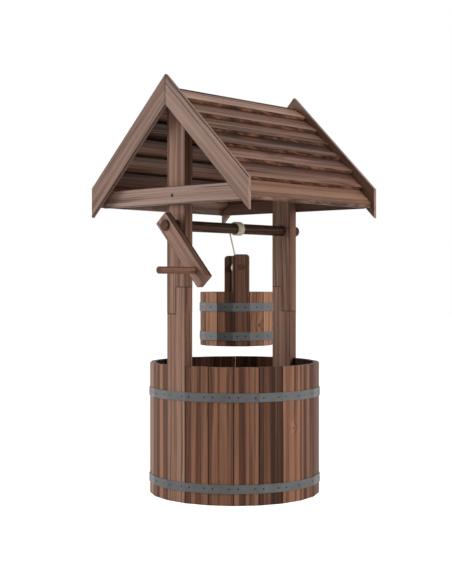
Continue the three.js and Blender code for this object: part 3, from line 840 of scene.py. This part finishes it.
@cache
def coopering() -> Recipe:
    """Staves that stand side by side in a ring, mitred to each other.

    Returns:
        The tree. Two opposite places stay free for long staves or posts.
    """
    g = Recipe("coopered staves")
    facets, seed = g.take("facets", "seed", kind="Int")
    apothem, foot, height, thickness, seam, long_half = g.take(
        "apothem", "foot", "height", "stave_thickness", "seam", "long_half")
    uneven, open_seam, open_width, inner_shade, turn = g.take(
        "unevenness", "open_seam", "open_width", "inner_shade", "turn")
    (centre,) = g.take("centre", kind="Vector")
    x, y, z = g.place()
    half_angle = math.pi / facets
    depth = (y + 0.5) * thickness
    half = (apothem - depth) * g.math("TANGENT", half_angle) - seam / 2
    stave = g.move(g.geo("MeshCube"), x * half * 2, depth - apothem, (z + 0.5) * height + foot)
    x, y, z = g.place()
    stave = g.store(stave, grain=g.vector(z - foot - height / 2, x, y + apothem),
                    half_width=abs(x))
    # Painted shade: the inner faces are darker
    inside = g.facing()[1] > ALIGNED
    stave = g.store(stave, "FACE", end_grain=g.is_end(2), shade=1 - inside * (1 - inner_shade))
    index = g.geo("InputIndex")
    free = index % (facets / 2) > 0.5
    ring = g.geo("InstanceOnPoints", Points=g.geo("Points", facets), Selection=free,
                 Instance=stave, Rotation=g.vector(0.0, 0.0, half_angle * index * 2))
    _, chance = g.chance(seed)
    ring = g.store(ring, "INSTANCE", board=chance)
    ring = g.geo("TranslateInstances", Instances=ring, Local_Space=True,
                 Translation=g.vector(0.0, chance * uneven, 0.0))
    # The staves beside a long one are cut square to it, and the tops aren't quite level
    x, y, z = g.place()
    clear = g.math("MAXIMUM", abs(x), long_half) * g.math("SIGN", x)
    top = z > foot + height / 2
    # One seam has shrunk open
    sine, cosine = g.math("SINE", open_seam), g.math("COSINE", open_seam)
    aside = x * cosine + y * sine
    beside = (abs(aside) < SEAM_REACH) * (x * sine - y * cosine > 0.0)
    slip = beside * g.math("SIGN", aside) * open_width
    ring = g.move(g.geo("RealizeInstances", ring), clear + slip * cosine, y + slip * sine,
                  z - top * g.recall("board") * uneven)
    return g.finish(g.turned(ring, centre, turn))


@cache
def ring_nailing() -> Recipe:
    """Nail heads on the flats of two hoops, one above the other.

    Returns:
        The tree. Ordinary and long staves are switched on with 1 and off with 0.
    """
    g = Recipe("nails in hoops")
    facets, pairs, seed = g.take("facets", "per_facet", "nail_seed", kind="Int")
    face, height, row_gap, offset, jitter, ordinary, long_ones, turn = g.take(
        "hoop_face", "low_row", "row_gap", "nail_offset", "nail_jitter", "ordinary",
        "long_ones", "turn")
    (centre,) = g.take("centre", kind="Vector")
    index = g.geo("InputIndex")
    in_row = index % (facets * pairs)
    # A little more than a whole number, so that rounding down can't miss it
    row = g.math("FLOOR", index / (facets * pairs) + 1e-4)
    facet = g.math("FLOOR", in_row / pairs + 1e-4)
    angle = facet / facets * math.tau
    slip_x, _, slip_z = g.split(g.term(
        "FunctionNodeRandomValue", data_type="FLOAT_VECTOR", Min=(-1.0, 0.0, -1.0),
        Max=(1.0, 0.0, 1.0), ID=index, Seed=seed))
    side = in_row % pairs * 2 - (pairs - 1)
    reach = side * offset + slip_x * jitter
    sine, cosine = g.math("SINE", angle), g.math("COSINE", angle)
    place = g.vector(face * sine + reach * cosine, reach * sine - face * cosine,
                     height + row * row_gap + slip_z * jitter)
    is_long = facet % (facets / 2) < 0.5
    heads = g.heads(g.geo("Points", facets * pairs * 2, place), 12,
                    g.vector(0.0, 0.0, angle), is_long * long_ones + (1 - is_long) * ordinary)
    return g.finish(g.turned(heads, centre, turn))


@cache
def row_fastening() -> Recipe:
    """A row of nail or screw heads between two points on a board.

    Returns:
        The tree.
    """
    g = Recipe("fasteners in a row")
    (count,) = g.take("count", kind="Int")
    first, last, facing = g.take("first", "last", "facing", kind="Vector")
    share = g.geo("InputIndex") / g.math("MAXIMUM", count - 1, 1)
    place = g.term("Mix", share, first, last, data_type="VECTOR")
    return g.finish(g.heads(g.geo("Points", count, place), 14, facing))


@cache
def slatting() -> Recipe:
    """Slats that lap each other down one slope of a roof, like weatherboards.

    Returns:
        The tree. The first and the last slat have sizes of their own.
    """
    g = Recipe("lapped slats")
    count, seed = g.take("slat_count", "slat_seed", kind="Int")
    side, ridge, pitch, first_edge, spacing, width, first_width, last_width = g.take(
        "side", "ridge_height", "pitch", "first_edge", "slat_spacing", "slat_width",
        "first_width", "last_width")
    thickness, recess, last_recess, tilt, last_tilt, length, wane, under_shade = g.take(
        "slat_thickness", "recess", "last_recess", "tilt", "last_tilt", "slat_length",
        "slat_wane", "under_shade")
    (centre,) = g.take("centre", kind="Vector")
    x, y, z = g.place()
    blank = g.store(g.geo("MeshCube"), grain=g.vector(y * length, x * width, z * thickness),
                    half_width=width / 2, half_depth=thickness / 2)
    normal_x, _, normal_z = g.facing()
    lower = (normal_x > ALIGNED) * 0.5
    # Painted shade: the undersides are darker
    beneath = normal_z < -ALIGNED
    blank = g.store(blank, "FACE", end_grain=lower + g.is_end(1),
                    shade=1 - beneath * (1 - under_shade))
    row = g.geo("InstanceOnPoints", Points=g.geo("Points", count), Instance=blank)
    index, chance = g.chance(seed)
    row = g.geo("RealizeInstances", g.store(row, "INSTANCE", board=chance, slat=index))
    slat = g.recall("slat")
    is_first = slat < 0.5
    is_last = slat > count - 1.5
    wide = width + is_first * (first_width - width) + is_last * (last_width - width)
    lean = tilt + is_last * (last_tilt - tilt)
    x, y, z = g.place()
    # Nothing laps over the slats at the ridge
    row = g.store(row, lap=(0.5 - x) * (1 - is_first))
    up = (0.5 - x) * wide + (x + 0.5) * g.recall("board") * wane
    deep = (0.5 - z) * thickness
    sine, cosine = g.math("SINE", lean), g.math("COSINE", lean)
    down = first_edge + slat * spacing - up * cosine + deep * sine
    under = recess + is_last * (last_recess - recess) + up * sine + deep * cosine
    sine, cosine = g.math("SINE", pitch), g.math("COSINE", pitch)
    row = g.move(row, side * (down * cosine - under * sine), y * length,
                 ridge - down * sine - under * cosine)
    return g.finish(g.turned(row, centre))


@cache
def rope_laying() -> Recipe:
    """Strands laid round the line that the object's edges follow.

    Returns:
        The tree. Each strand carries its lay coordinates.
    """
    g = Recipe("laid rope")
    diameter, lay, step = g.take("diameter", "lay_length", "strand_step")
    line = g.geo("MeshToCurve", Term(g, g.inputs.outputs["Geometry"]))
    line = g.geo("ResampleCurve", Curve=line, Length=step, mode="LENGTH")
    strands = g.tree.nodes.new("GeometryNodeJoinGeometry")
    for number in range(STRANDS):
        length = g.geo("SplineParameter", output="Length")
        angle = length / lay * math.tau + number * math.tau / STRANDS
        normal = g.geo("InputNormal")
        binormal = g.term("VectorMath", g.geo("InputTangent"), normal,
                          operation="CROSS_PRODUCT")
        aside, across = (
            g.term("VectorMath", way, Scale=g.math(wave, angle), operation="SCALE")
            for way, wave in ((normal, "COSINE"), (binormal, "SINE")))
        shift = g.term("VectorMath", g.term("VectorMath", aside, across, operation="ADD"),
                       Scale=diameter * STRAND_REACH, operation="SCALE")
        strand = g.geo("SetPosition", Geometry=g.store(line, strand_length=length),
                       Offset=shift)
        ring = g.geo("CurvePrimitiveCircle", Resolution=STRAND_SIDES,
                     Radius=diameter * STRAND_RADIUS)
        ring = g.store(ring, strand_turn=g.geo("SplineParameter"))
        tube = g.geo("CurveToMesh", strand, ring, Fill_Caps=True)
        tube = g.store(tube, lay=g.vector(
            g.recall("strand_length"), g.recall("strand_turn") * math.tau, float(number)))
        g.tree.links.new(tube.socket, strands.inputs[0])
    return g.finish(Term(g, strands.outputs[0]))


def place_piece(piece: bpy.types.Object, body: Body, slot: Slot, *nodes: str) -> None:
    """Puts a finished piece on its body.

    Args:
        piece: the piece.
        body: what it rides on.
        slot: not used.
        nodes: the CAD nodes that it replaces.
    """
    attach(piece, body.value)
    if nodes:
        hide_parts(*nodes)
    LOG.info("%s: %d faces on %s", piece.name, len(piece.data.polygons), body.value)


def glue_and_shade_bars(name: str, slot: Slot, corners: list[tuple[Triple, Triple]]) -> None:
    """Dark bars in the joints of the frame, as one piece: glue lines and painted shade in the
    gaps.

    Args:
        name: the new piece.
        slot: the slot of its material.
        corners: two opposite corners of each bar.
    """
    shape = bmesh.new()
    for first, second in corners:
        middle, size = (Vector(first) + Vector(second)) / 2, Vector(second) - Vector(first)
        bmesh.ops.create_cube(shape, size=1.0, matrix=Matrix.Translation(middle)
                              @ Matrix.Diagonal((*map(abs, size), 1.0)))
    mesh = outward(shape, bpy.data.meshes.new(name))
    mesh.materials.append(Finish.GLUE_AND_SHADE.material)
    place_piece(linked(name, mesh), Body.FRAME, slot)


@dataclass
class Vessel:
    """A coopered vessel: mitred staves, and two nailed straps bent in flats.

    The sizes are the barrel's; the bucket has its own.
    """

    joiner: Joiner
    name: str = "barrel"
    body: Body = Body.FRAME
    slot: Slot = Slot.BARREL
    finish: Finish = Finish.BARREL
    facets: int = 22
    apothem: float = 0.241
    foot: float = 0.0
    height: float = 0.3705
    stave_thickness: float = 15 * MM
    seam: float = 0.15 * MM
    open_seam: float = 13.5 * math.tau / 22
    open_width: float = 0.13 * MM
    long_half: float = 34.5 * MM
    unevenness: float = 0.5 * MM
    stave_edge: float = 1.1 * MM
    inner_shade: float = 0.27
    seed: int = 1330
    turn: float = 0.0
    centre: Triple = WELL_CENTRE
    hoop_bottoms: tuple[float, float] = (32.4 * MM, 276.7 * MM)
    hoop_edge: float = 0.35 * MM
    flat_light_shade_spread: float = 0.0
    flat_light_shade_seed: int = 0
    head_radius: float = 2.3 * MM
    head_rise: float = 0.7 * MM
    nail_reach: float = 0.33
    nail_jitter: float = 1.3 * MM
    nail_seed: int = 3

    def staves(self, *nodes: str) -> None:
        """Builds the ring of staves between the two long ones.

        Args:
            nodes: the CAD nodes that it replaces.
        """
        piece = coopering().make(f"{self.name}_staves", self.finish, self,
                                 bevel=self.stave_edge)
        place_piece(piece, self.body, self.slot, *nodes)

    def hoops(self) -> None:
        """The two steel straps, each flat made lighter or darker by painted light and shade of
        its own.
        """
        # Painted light and shade: each flat gets a brightness of its own
        chance = np.random.default_rng(self.flat_light_shade_seed).uniform(-1.0, 1.0, self.facets)
        tones = 1.0 + self.flat_light_shade_spread * chance
        for place in ("lower", "upper"):
            node = f"{self.name}_hoop_{place}"
            mesh = self.joiner.shape(node, self.hoop_edge)
            normals = [face.normal for face in mesh.polygons]
            flats = [round((math.atan2(n.x, -n.y) - self.turn) * self.facets / math.tau)
                     for n in normals]
            keep(mesh, "flat_light_shade", tones[np.array(flats) % self.facets], "FACE")
            mesh.materials.append(Finish.HOOP.material)
            mesh.shade_flat()
            piece = linked(f"{self.name}_strap_{place}", mesh)
            place_piece(piece, self.body, Slot.HOOP, node)

    def nails(self, name: str, per_stave: int, ordinary: float, long_ones: float) -> None:
        """Nails through both straps.

        Args:
            name: the new piece.
            per_stave: how many stand side by side on a stave.
            ordinary: 1 where the ordinary staves have them, or 0.
            long_ones: the same for the long staves.
        """
        low, high = self.hoop_bottoms
        facet = 2 * self.apothem * math.tan(math.pi / self.facets)
        piece = ring_nailing().make(
            name, Finish.IRON, self, per_facet=per_stave, ordinary=ordinary,
            long_ones=long_ones, hoop_face=self.apothem + FIT_GAP + HOOP_THICKNESS,
            low_row=low + HOOP_HEIGHT / 2, row_gap=high - low,
            nail_offset=facet * self.nail_reach)
        place_piece(piece, self.body, Slot.HOOP)


@dataclass
class Barrel(Vessel):
    """The barrel between the feet of the posts."""

    def build(self) -> None:
        """Builds the staves, the floor that soil or pots stand on, the hoops and nails."""
        self.staves(*(f"barrel_stave_{number:02d}" for number in range(1, 21)))
        floor = self.joiner.board("barrel_floor_board", "barrel_floor", (0, 1, 0), self.finish)
        place_piece(floor, self.body, self.slot, "barrel_floor")
        self.hoops()
        self.nails("barrel_hoop_nails", 2, 1.0, 1.0)


@dataclass
class Bucket(Vessel):
    """The small bucket with its two ears and the dowel between them."""

    name: str = "bucket"
    body: Body = Body.BUCKET
    slot: Slot = Slot.BUCKET
    finish: Finish = Finish.BUCKET
    facets: int = 14
    apothem: float = 102.3 * MM
    foot: float = 0.4185
    height: float = 0.152
    stave_thickness: float = 12 * MM
    seam: float = 0.7 * MM
    open_width: float = 0.0
    long_half: float = 23.43 * MM
    unevenness: float = 0.3 * MM
    stave_edge: float = 0.9 * MM
    inner_shade: float = 0.7
    seed: int = 1041
    turn: float = BUCKET_TURN
    centre: Triple = (BUCKET_OFFSET, WELL_Y + BUCKET_OFFSET, 0.0)
    hoop_bottoms: tuple[float, float] = (0.4342, 0.5160)
    flat_light_shade_spread: float = 0.42
    flat_light_shade_seed: int = 20733
    head_rise: float = 0.6 * MM
    nail_reach: float = 0.25
    nail_jitter: float = 0.4 * MM
    nail_seed: int = 9

    def build(self) -> None:
        """Builds the short staves, the boards, the hoops and nails."""
        self.staves("bucket_staves_left", "bucket_staves_right")
        self.boards()
        self.hoops()
        self.nails("bucket_nails_staves", 1, 1.0, 0.0)
        self.nails("bucket_nails_ears", 2, 0.0, 1.0)

    def boards(self) -> None:
        """The ears, the base and the dowel."""
        board, up = self.joiner.board, (0, 0, 1)
        dowel = (math.sin(self.turn), -math.cos(self.turn), 0.0)
        for node, piece in (
                ("bucket_ear_front", board("bucket_ear_front_board", "bucket_ear_front", up,
                                           Finish.TURNED, number=0.2835)),
                ("bucket_ear_rear", board("bucket_ear_rear_board", "bucket_ear_rear", up,
                                          Finish.TURNED, number=0.4128)),
                ("bucket_base", board("bucket_base_board", "bucket_base", (1, 0, 0),
                                      self.finish)),
                ("bucket_dowel", self.joiner.rod("bucket_dowel_rod", "bucket_dowel", dowel,
                                                 0.0015))):
            place_piece(piece, self.body, self.slot, node)


@dataclass
class Posts:
    """The two posts, each in two lengths joined by a half lap."""

    joiner: Joiner
    half_width: float = 33.85 * MM
    outer_face: float = 241 * MM
    thickness: float = 29.6 * MM
    lap_bottom: float = 0.5115
    lap_top: float = 0.5850
    glue_and_shade_width: float = 1.8 * MM
    side_shade: float = 0.68

    def build(self) -> None:
        """Builds the four lengths and the glue and painted shade between them."""
        for node, number in (("front_post_lower", 0.1268), ("front_post_upper", 0.881),
                             ("rear_post_lower", 0.4785), ("rear_post_upper", 0.572)):
            piece = self.joiner.board(f"{node}_timber", node, (0, 0, 1), Finish.TIMBER,
                                      number=number, side_shade=self.side_shade)
            place_piece(piece, Body.FRAME, Slot.BARREL, node)
        self.glue_and_shade()

    def glue_and_shade(self) -> None:
        """The dark glue line and painted shade that close each lap's two shoulders and its
        middle.
        """
        line, far = self.glue_and_shade_width / 2, self.half_width + PROUD
        bars = []
        for _, side in ENDS:
            inner = WELL_Y + side * (self.outer_face - self.thickness - PROUD)
            outer = WELL_Y + side * (self.outer_face + PROUD)
            for height, end in ((self.lap_top, -side * far), (self.lap_bottom, side * far)):
                middle = height - FIT_GAP / 2
                bars.append(((0.0, inner, middle - line), (end, outer, middle + line)))
            bars.append(((-line, inner, self.lap_bottom),
                         (line, outer, self.lap_top - FIT_GAP)))
        glue_and_shade_bars("post_lap_glue_and_shade", Slot.BARREL, bars)


@dataclass
class Roof:
    """The gable roof: gable boards, tie beams, eave boards and lapped slats."""

    joiner: Joiner
    ridge_height: float = 1.160
    pitch: float = math.radians(44.8)
    slat_count: int = 6
    slat_spacing: float = 60.9 * MM
    slat_width: float = 68 * MM
    slat_thickness: float = 11 * MM
    slat_length: float = 0.5438
    slat_edge: float = 0.8 * MM
    slat_wane: float = 0.6 * MM
    slat_seeds: tuple[int, int] = (11, 469)
    first_edge: float = 81 * MM
    recess: float = 12.2 * MM
    last_tilt: float = math.radians(1.2)
    last_lap: float = 3.5 * MM
    ridge_lap: float = 0.4 * MM
    ridge_end_gap: float = -0.3 * MM
    under_shade: float = 0.86
    board_width: float = 59.3 * MM
    board_edge: float = 0.9 * MM
    inner_shade: float = 0.55
    outer_face: float = 283.2 * MM
    mitre_line: float = 2.4 * MM
    mitre_depth: float = 10 * MM
    mitre_end: float = 1.5 * MM
    screw_spot: tuple[float, float] = (256.3 * MM, 0.8337)
    screw_head: tuple[float, float] = (5.2 * MM, 0.8 * MM)
    nail_spots: Triple = (284.4 * MM, 0.246, 0.262)
    nail_height: float = 0.8195
    nail_head: tuple[float, float] = (1.8 * MM, 0.6 * MM)

    def build(self) -> None:
        """Builds the roof's pieces."""
        self.slats()
        self.boards()
        self.mitres()
        self.fasteners()

    @property
    def tilt(self) -> float:
        """The angle at which slats of one thickness lie on each other."""
        return math.asin((self.slat_thickness + FIT_GAP) / self.slat_spacing)

    def ridge_width(self, on_top: bool) -> float:
        """The width of a ridge slat.

        Args:
            on_top: whether it laps over the other one or stops under it.

        Returns:
            The width.
        """
        slope = self.pitch - self.tilt
        span = self.first_edge * math.cos(self.pitch) - self.recess * math.sin(self.pitch)
        top = (span + self.ridge_lap) / math.cos(slope)
        if on_top:
            return top
        return (2 * span * math.cos(slope) - top * math.cos(2 * slope)
                - self.slat_thickness * math.sin(2 * slope) - self.ridge_end_gap)

    def slats(self) -> None:
        """Six slats on each slope."""
        bare = self.slat_spacing - self.slat_thickness * math.sin(self.tilt)
        last_recess = (self.recess + self.slat_thickness * math.cos(self.tilt) + FIT_GAP
                       + self.last_lap * (math.tan(self.tilt) - math.tan(self.last_tilt))
                       - bare * math.tan(self.last_tilt))
        for (name, side), seed in zip(SIDES, self.slat_seeds):
            piece = slatting().make(
                f"{name}_slats", Finish.LOUVRE, self, bevel=self.slat_edge, side=side,
                slat_seed=seed, first_width=self.ridge_width(side < 0),
                last_width=bare + self.last_lap, last_recess=last_recess, centre=WELL_CENTRE)
            nodes = (f"{name}_slat_{number}" for number in range(1, self.slat_count + 1))
            place_piece(piece, Body.FRAME, Slot.ROOF, *nodes)

    def boards(self) -> None:
        """Gable boards, tie beams and eave boards."""
        cosine, sine = math.cos(self.pitch), math.sin(self.pitch)
        cuts = [(f"{end}_{node}", along, (0.0, -side, 0.0), Finish.ROOF) for end, side in ENDS
                for node, along in (("gable_board_left", (cosine, 0.0, sine)),
                                    ("gable_board_right", (cosine, 0.0, -sine)),
                                    ("tie_beam", (1.0, 0.0, 0.0)))]
        cuts += [(f"{name}_eave_board", (0.0, 1.0, 0.0), (-side, 0.0, 0.0), Finish.EAVE)
                 for name, side in SIDES]
        for node, along, inside, finish in cuts:
            piece = self.joiner.board(
                f"{node}_timber", node, along, finish, edge=self.board_edge, inside=inside,
                side_shade=self.inner_shade, darker_foot=finish is Finish.EAVE)
            place_piece(piece, Body.FRAME, Slot.ROOF, node)

    def mitres(self) -> None:
        """The dark plumb line where the two boards of each gable meet: a joint line with painted
        shade.
        """
        low = self.ridge_height - self.board_width / math.cos(self.pitch) + self.mitre_end
        high, half = self.ridge_height - self.mitre_end, self.mitre_line / 2
        glue_and_shade_bars("gable_mitre_lines", Slot.ROOF, [
            ((-half, WELL_Y + side * (self.outer_face - self.mitre_depth), low),
             (half, WELL_Y + side * (self.outer_face + PROUD), high)) for _, side in ENDS])

    def fasteners(self) -> None:
        """One screw through each tie beam into its post, and nails in the eave boards."""
        face, height = self.screw_spot
        rows = [(f"{end}_tie_beam_screw", [(0.0, WELL_Y + side * face, height)], 0.0,
                 self.screw_head) for end, side in ENDS]
        face, first, last = self.nail_spots
        rows += [(f"{name}_eave_nails_{end}",
                  [(side * face, WELL_Y + sign * y, self.nail_height) for y in (first, last)],
                  math.pi / 2, self.nail_head) for name, side in SIDES for end, sign in ENDS]
        for name, spots, facing, (radius, rise) in rows:
            piece = row_fastening().make(
                name, Finish.IRON, count=len(spots), first=spots[0], last=spots[-1],
                facing=(0.0, 0.0, facing), head_radius=radius, head_rise=rise)
            place_piece(piece, Body.FRAME, Slot.HOOP)


@dataclass
class Windlass:
    """The axle, the crank arm and its handle."""

    joiner: Joiner
    arm_rest: float = math.radians(-48.4)
    arm_shade: float = 0.5

    def build(self) -> None:
        """Builds the three wooden pieces."""
        arm = (math.cos(self.arm_rest), 0.0, math.sin(self.arm_rest))
        for node, piece in (
                ("axle", self.joiner.rod("axle_rod", "axle", (0, 1, 0), 0.004)),
                ("crank_arm", self.joiner.board("crank_arm_board", "crank_arm", arm,
                                                Finish.ARM, side_shade=self.arm_shade)),
                ("crank_handle", self.joiner.rod("crank_grip", "crank_handle", (0, 1, 0),
                                                 0.0115))):
            place_piece(piece, Body.WINDLASS, Slot.BARREL, node)


@dataclass
class Rope:
    """The rope: turns on the axle, the hanging stretch and the hitch on the bucket's dowel."""

    turns: int = 5
    turn_pitch: float = 5.2 * MM
    start_y: float = -1.4 * MM
    lay_length: float = 15 * MM
    strand_step: float = 1.2 * MM
    hitch_turns: int = 5
    turn_steps: int = 32
    hitch_steps: int = 28
    hang_steps: int = 24

    @property
    def winding_radius(self) -> float:
        """Axis of the axle to the centre of the rope."""
        return AXLE_RADIUS + FIT_GAP + ROPE_DIAMETER / 2

    def build(self) -> None:
        winding = self.lay("rope_turns", self.winding_line())
        place_piece(winding, Body.WINDLASS, Slot.ROPE, "rope_winding")
        hitch = self.lay("rope_hitch", self.hitch_line())
        place_piece(hitch, Body.BUCKET, Slot.ROPE)
        line = self.hanging_line()
        drop = self.lay("rope_hanging", line)
        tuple(line[0])
        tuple(line[-1])
        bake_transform(drop)
        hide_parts("rope_drop")
        length = sum((b - a).length for a, b in zip(line, line[1:]))
        tuple(line[0])
        [tuple(p) for p in line]
        LOG.info("%s: %.1f mm of free rope", drop.name, length / MM)

    def lay(self, name: str, line: list[Vector]) -> bpy.types.Object:
        """Lays the strands along a line.

        Args:
            name: the new piece.
            line: its centre line.

        Returns:
            The piece.
        """
        mesh = bpy.data.meshes.new(name)
        mesh.from_pydata(line, [(i, i + 1) for i in range(len(line) - 1)], [])
        piece = rope_laying().make(name, Finish.ROPE, self, mesh, diameter=ROPE_DIAMETER)
        piece.data.shade_smooth()
        return piece

    def winding_line(self) -> list[Vector]:
        """Winds the turns on the axle.

        Returns:
            Their centre line.
        """
        radius, turns = self.winding_radius, range(self.turns * self.turn_steps + 1)
        line = [Vector((-radius, self.start_y, -ROPE_DIAMETER))]
        for turn in (i / self.turn_steps for i in turns):
            line.append(Vector((-radius * math.cos(math.tau * turn),
                                self.start_y + self.turn_pitch * turn,
                                radius * math.sin(math.tau * turn))))
        line.append(line[-1] + Vector((0.0, 0.0, ROPE_DIAMETER)))
        return [point + Vector((0.0, WELL_Y, AXLE_HEIGHT)) for point in line]

    def hanging_line(self) -> list[Vector]:
        """Draws the free stretch from the axle to the dowel, upright at both ends.

        Returns:
            Its centre line.
        """
        upright = Vector((0.0, 0.0, ROPE_DIAMETER))
        top = Vector((-self.winding_radius, WELL_Y + self.start_y,
                      AXLE_HEIGHT - ROPE_DIAMETER - FIT_GAP))
        end = Vector((BUCKET_OFFSET, WELL_Y + BUCKET_OFFSET,
                      DOWEL_HEIGHT + DOWEL_RADIUS + FIT_GAP))
        slope = [(top - upright).lerp(end + upright, i / self.hang_steps)
                 for i in range(self.hang_steps + 1)]
        return [top, *slope, end]

    def hitch_line(self) -> list[Vector]:
        """Winds the turns round the dowel.

        Returns:
            Their centre line.
        """
        radius = DOWEL_RADIUS + FIT_GAP + ROPE_DIAMETER / 2
        # Along the dowel, and level across it
        axis = Vector((math.sin(BUCKET_TURN), -math.cos(BUCKET_TURN), 0.0))
        level = Vector((math.cos(BUCKET_TURN), math.sin(BUCKET_TURN), 0.0))
        centre = Vector((BUCKET_OFFSET, WELL_Y + BUCKET_OFFSET, DOWEL_HEIGHT))
        line = []
        for i in range(self.hitch_turns * self.hitch_steps + 1):
            turn = i / self.hitch_steps
            angle = math.pi / 2 + math.tau * turn
            line.append(centre + axis * (self.turn_pitch * (turn - self.hitch_turns / 2))
                        + level * (radius * math.cos(angle))
                        + Vector((0.0, 0.0, radius * math.sin(angle))))
        return line


@dataclass
class Studio:
    """Camera, floor, world and lamps."""

    eye: Triple = (2.21045, -2.43452, 0.59860)
    heading: float = math.radians(41.89)
    focal_px: float = 1160.2
    frame_px: tuple[int, int] = (452, 584)
    horizon_shift: float = -0.01717
    sensor: float = 36.0
    farthest: float = 60.0
    world_level: float = 0.50
    dim_level: float = 0.14
    dim_bearing: float = math.radians(20.0)
    dim_edge: tuple[float, float] = (0.45, 0.95)
    floor_reach: float = 14.0
    floor_level: float = 0.80
    floor_shade: tuple[float, float] = (0.205, 0.225)
    lamp_size: float = 1.8
    lamp_aim: Triple = (0.0, 0.0, 0.6)
    lamps: tuple[tuple[str, Triple, float], ...] = (
        ("key", (-2.4, -2.2, 1.7), 60.0), ("fill", (2.9, 0.9, 1.5), 46.0))

    def camera(self) -> None:
        """The photograph's camera, level and fitted to its edges."""
        data = bpy.data.cameras.new("camera")
        data.sensor_width = self.sensor
        data.lens = self.focal_px * self.sensor / max(self.frame_px)
        data.shift_y = self.horizon_shift
        data.clip_end = self.farthest
        camera = linked("camera", data)
        camera.location = self.eye
        camera.rotation_euler = (math.pi / 2, 0.0, self.heading)
        bpy.context.scene.camera = camera

    @staticmethod
    def seen(graph: Graph) -> Term:
        """Tells which rays come from the camera, or by way of gloss or glass.

        Args:
            graph: the tree that asks.

        Returns:
            1 for those rays, 0 for others.
        """
        path = graph.node("LightPath").outputs
        camera, gloss, glass = (Term(graph, path[f"Is {kind} Ray"])
                                for kind in ("Camera", "Glossy", "Transmission"))
        return graph.math("MAXIMUM", graph.math("MAXIMUM", camera, gloss), glass)

    def world(self) -> None:
        """A soft white surround that shows as plain white to the camera and in gloss."""
        world = bpy.data.worlds.new("surround")
        bpy.context.scene.world = world
        world.use_nodes = True
        world.node_tree.nodes.clear()
        g = Graph(world.node_tree)
        x, y, _ = g.split(g.term("TexCoord", output="Generated"))
        # The side that the key and the fill leave between them is dimmer
        toward = x * math.sin(self.dim_bearing) - y * math.cos(self.dim_bearing)
        around = g.span(toward, *self.dim_edge, self.world_level, self.dim_level)
        level = self.seen(g) * (1.0 - around) + around
        g.node("OutputWorld", g.term("Background", (1.0, 1.0, 1.0, 1.0), level))

    def floor(self) -> None:
        """A pale floor that keeps the shadow and meets the white surround."""
        far = self.floor_reach
        mesh = bpy.data.meshes.new("floor")
        mesh.from_pydata([(-far, -far, 0), (far, -far, 0), (far, far, 0), (-far, far, 0)], [],
                         [(0, 1, 2, 3)])
        g = Paint("floor_paper", Roughness=1.0, Specular_IOR_Level=0.0,
                  Base_Color=rgba((self.floor_level,) * 3), Emission_Color=rgba((1.0,) * 3))
        # Under the barrel the floor is as dark as it would be there
        x, y, _ = g.split(g.place())
        away = g.math("SQRT", x * x + (y - WELL_Y) * (y - WELL_Y))
        g.feed(Emission_Strength=self.seen(g) * g.span(away, *self.floor_shade, 0.0,
                                                       self.floor_level))
        mesh.materials.append(g.material)
        linked("floor", mesh)

    def light(self) -> None:
        """Square soft lamps that look at the well."""
        for name, place, power in self.lamps:
            data = bpy.data.lights.new(name, "AREA")
            data.energy, data.size = power, self.lamp_size
            lamp = linked(name, data)
            lamp.location = place
            aim = Vector(self.lamp_aim) - Vector(place)
            lamp.rotation_euler = aim.to_track_quat("-Z", "Y").to_euler()

    def build(self) -> None:
        """Sets up the studio, apart from the camera."""
        bpy.context.scene.view_settings.view_transform = "Standard"
        self.world()
        self.floor()
        self.light()


def main() -> None:
    """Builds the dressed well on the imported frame."""
    logging.basicConfig(level=logging.INFO, format="%(message)s")
    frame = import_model()
    studio = Studio()
    studio.camera()
    joiner = Joiner(frame["nodes"])
    for part in (Rope(), Barrel(joiner), Posts(joiner), Roof(joiner), Windlass(joiner),
                 Bucket(joiner), studio):
        part.build()
    bpy.context.view_layer.update()


if __name__ == "__main__":
    main()
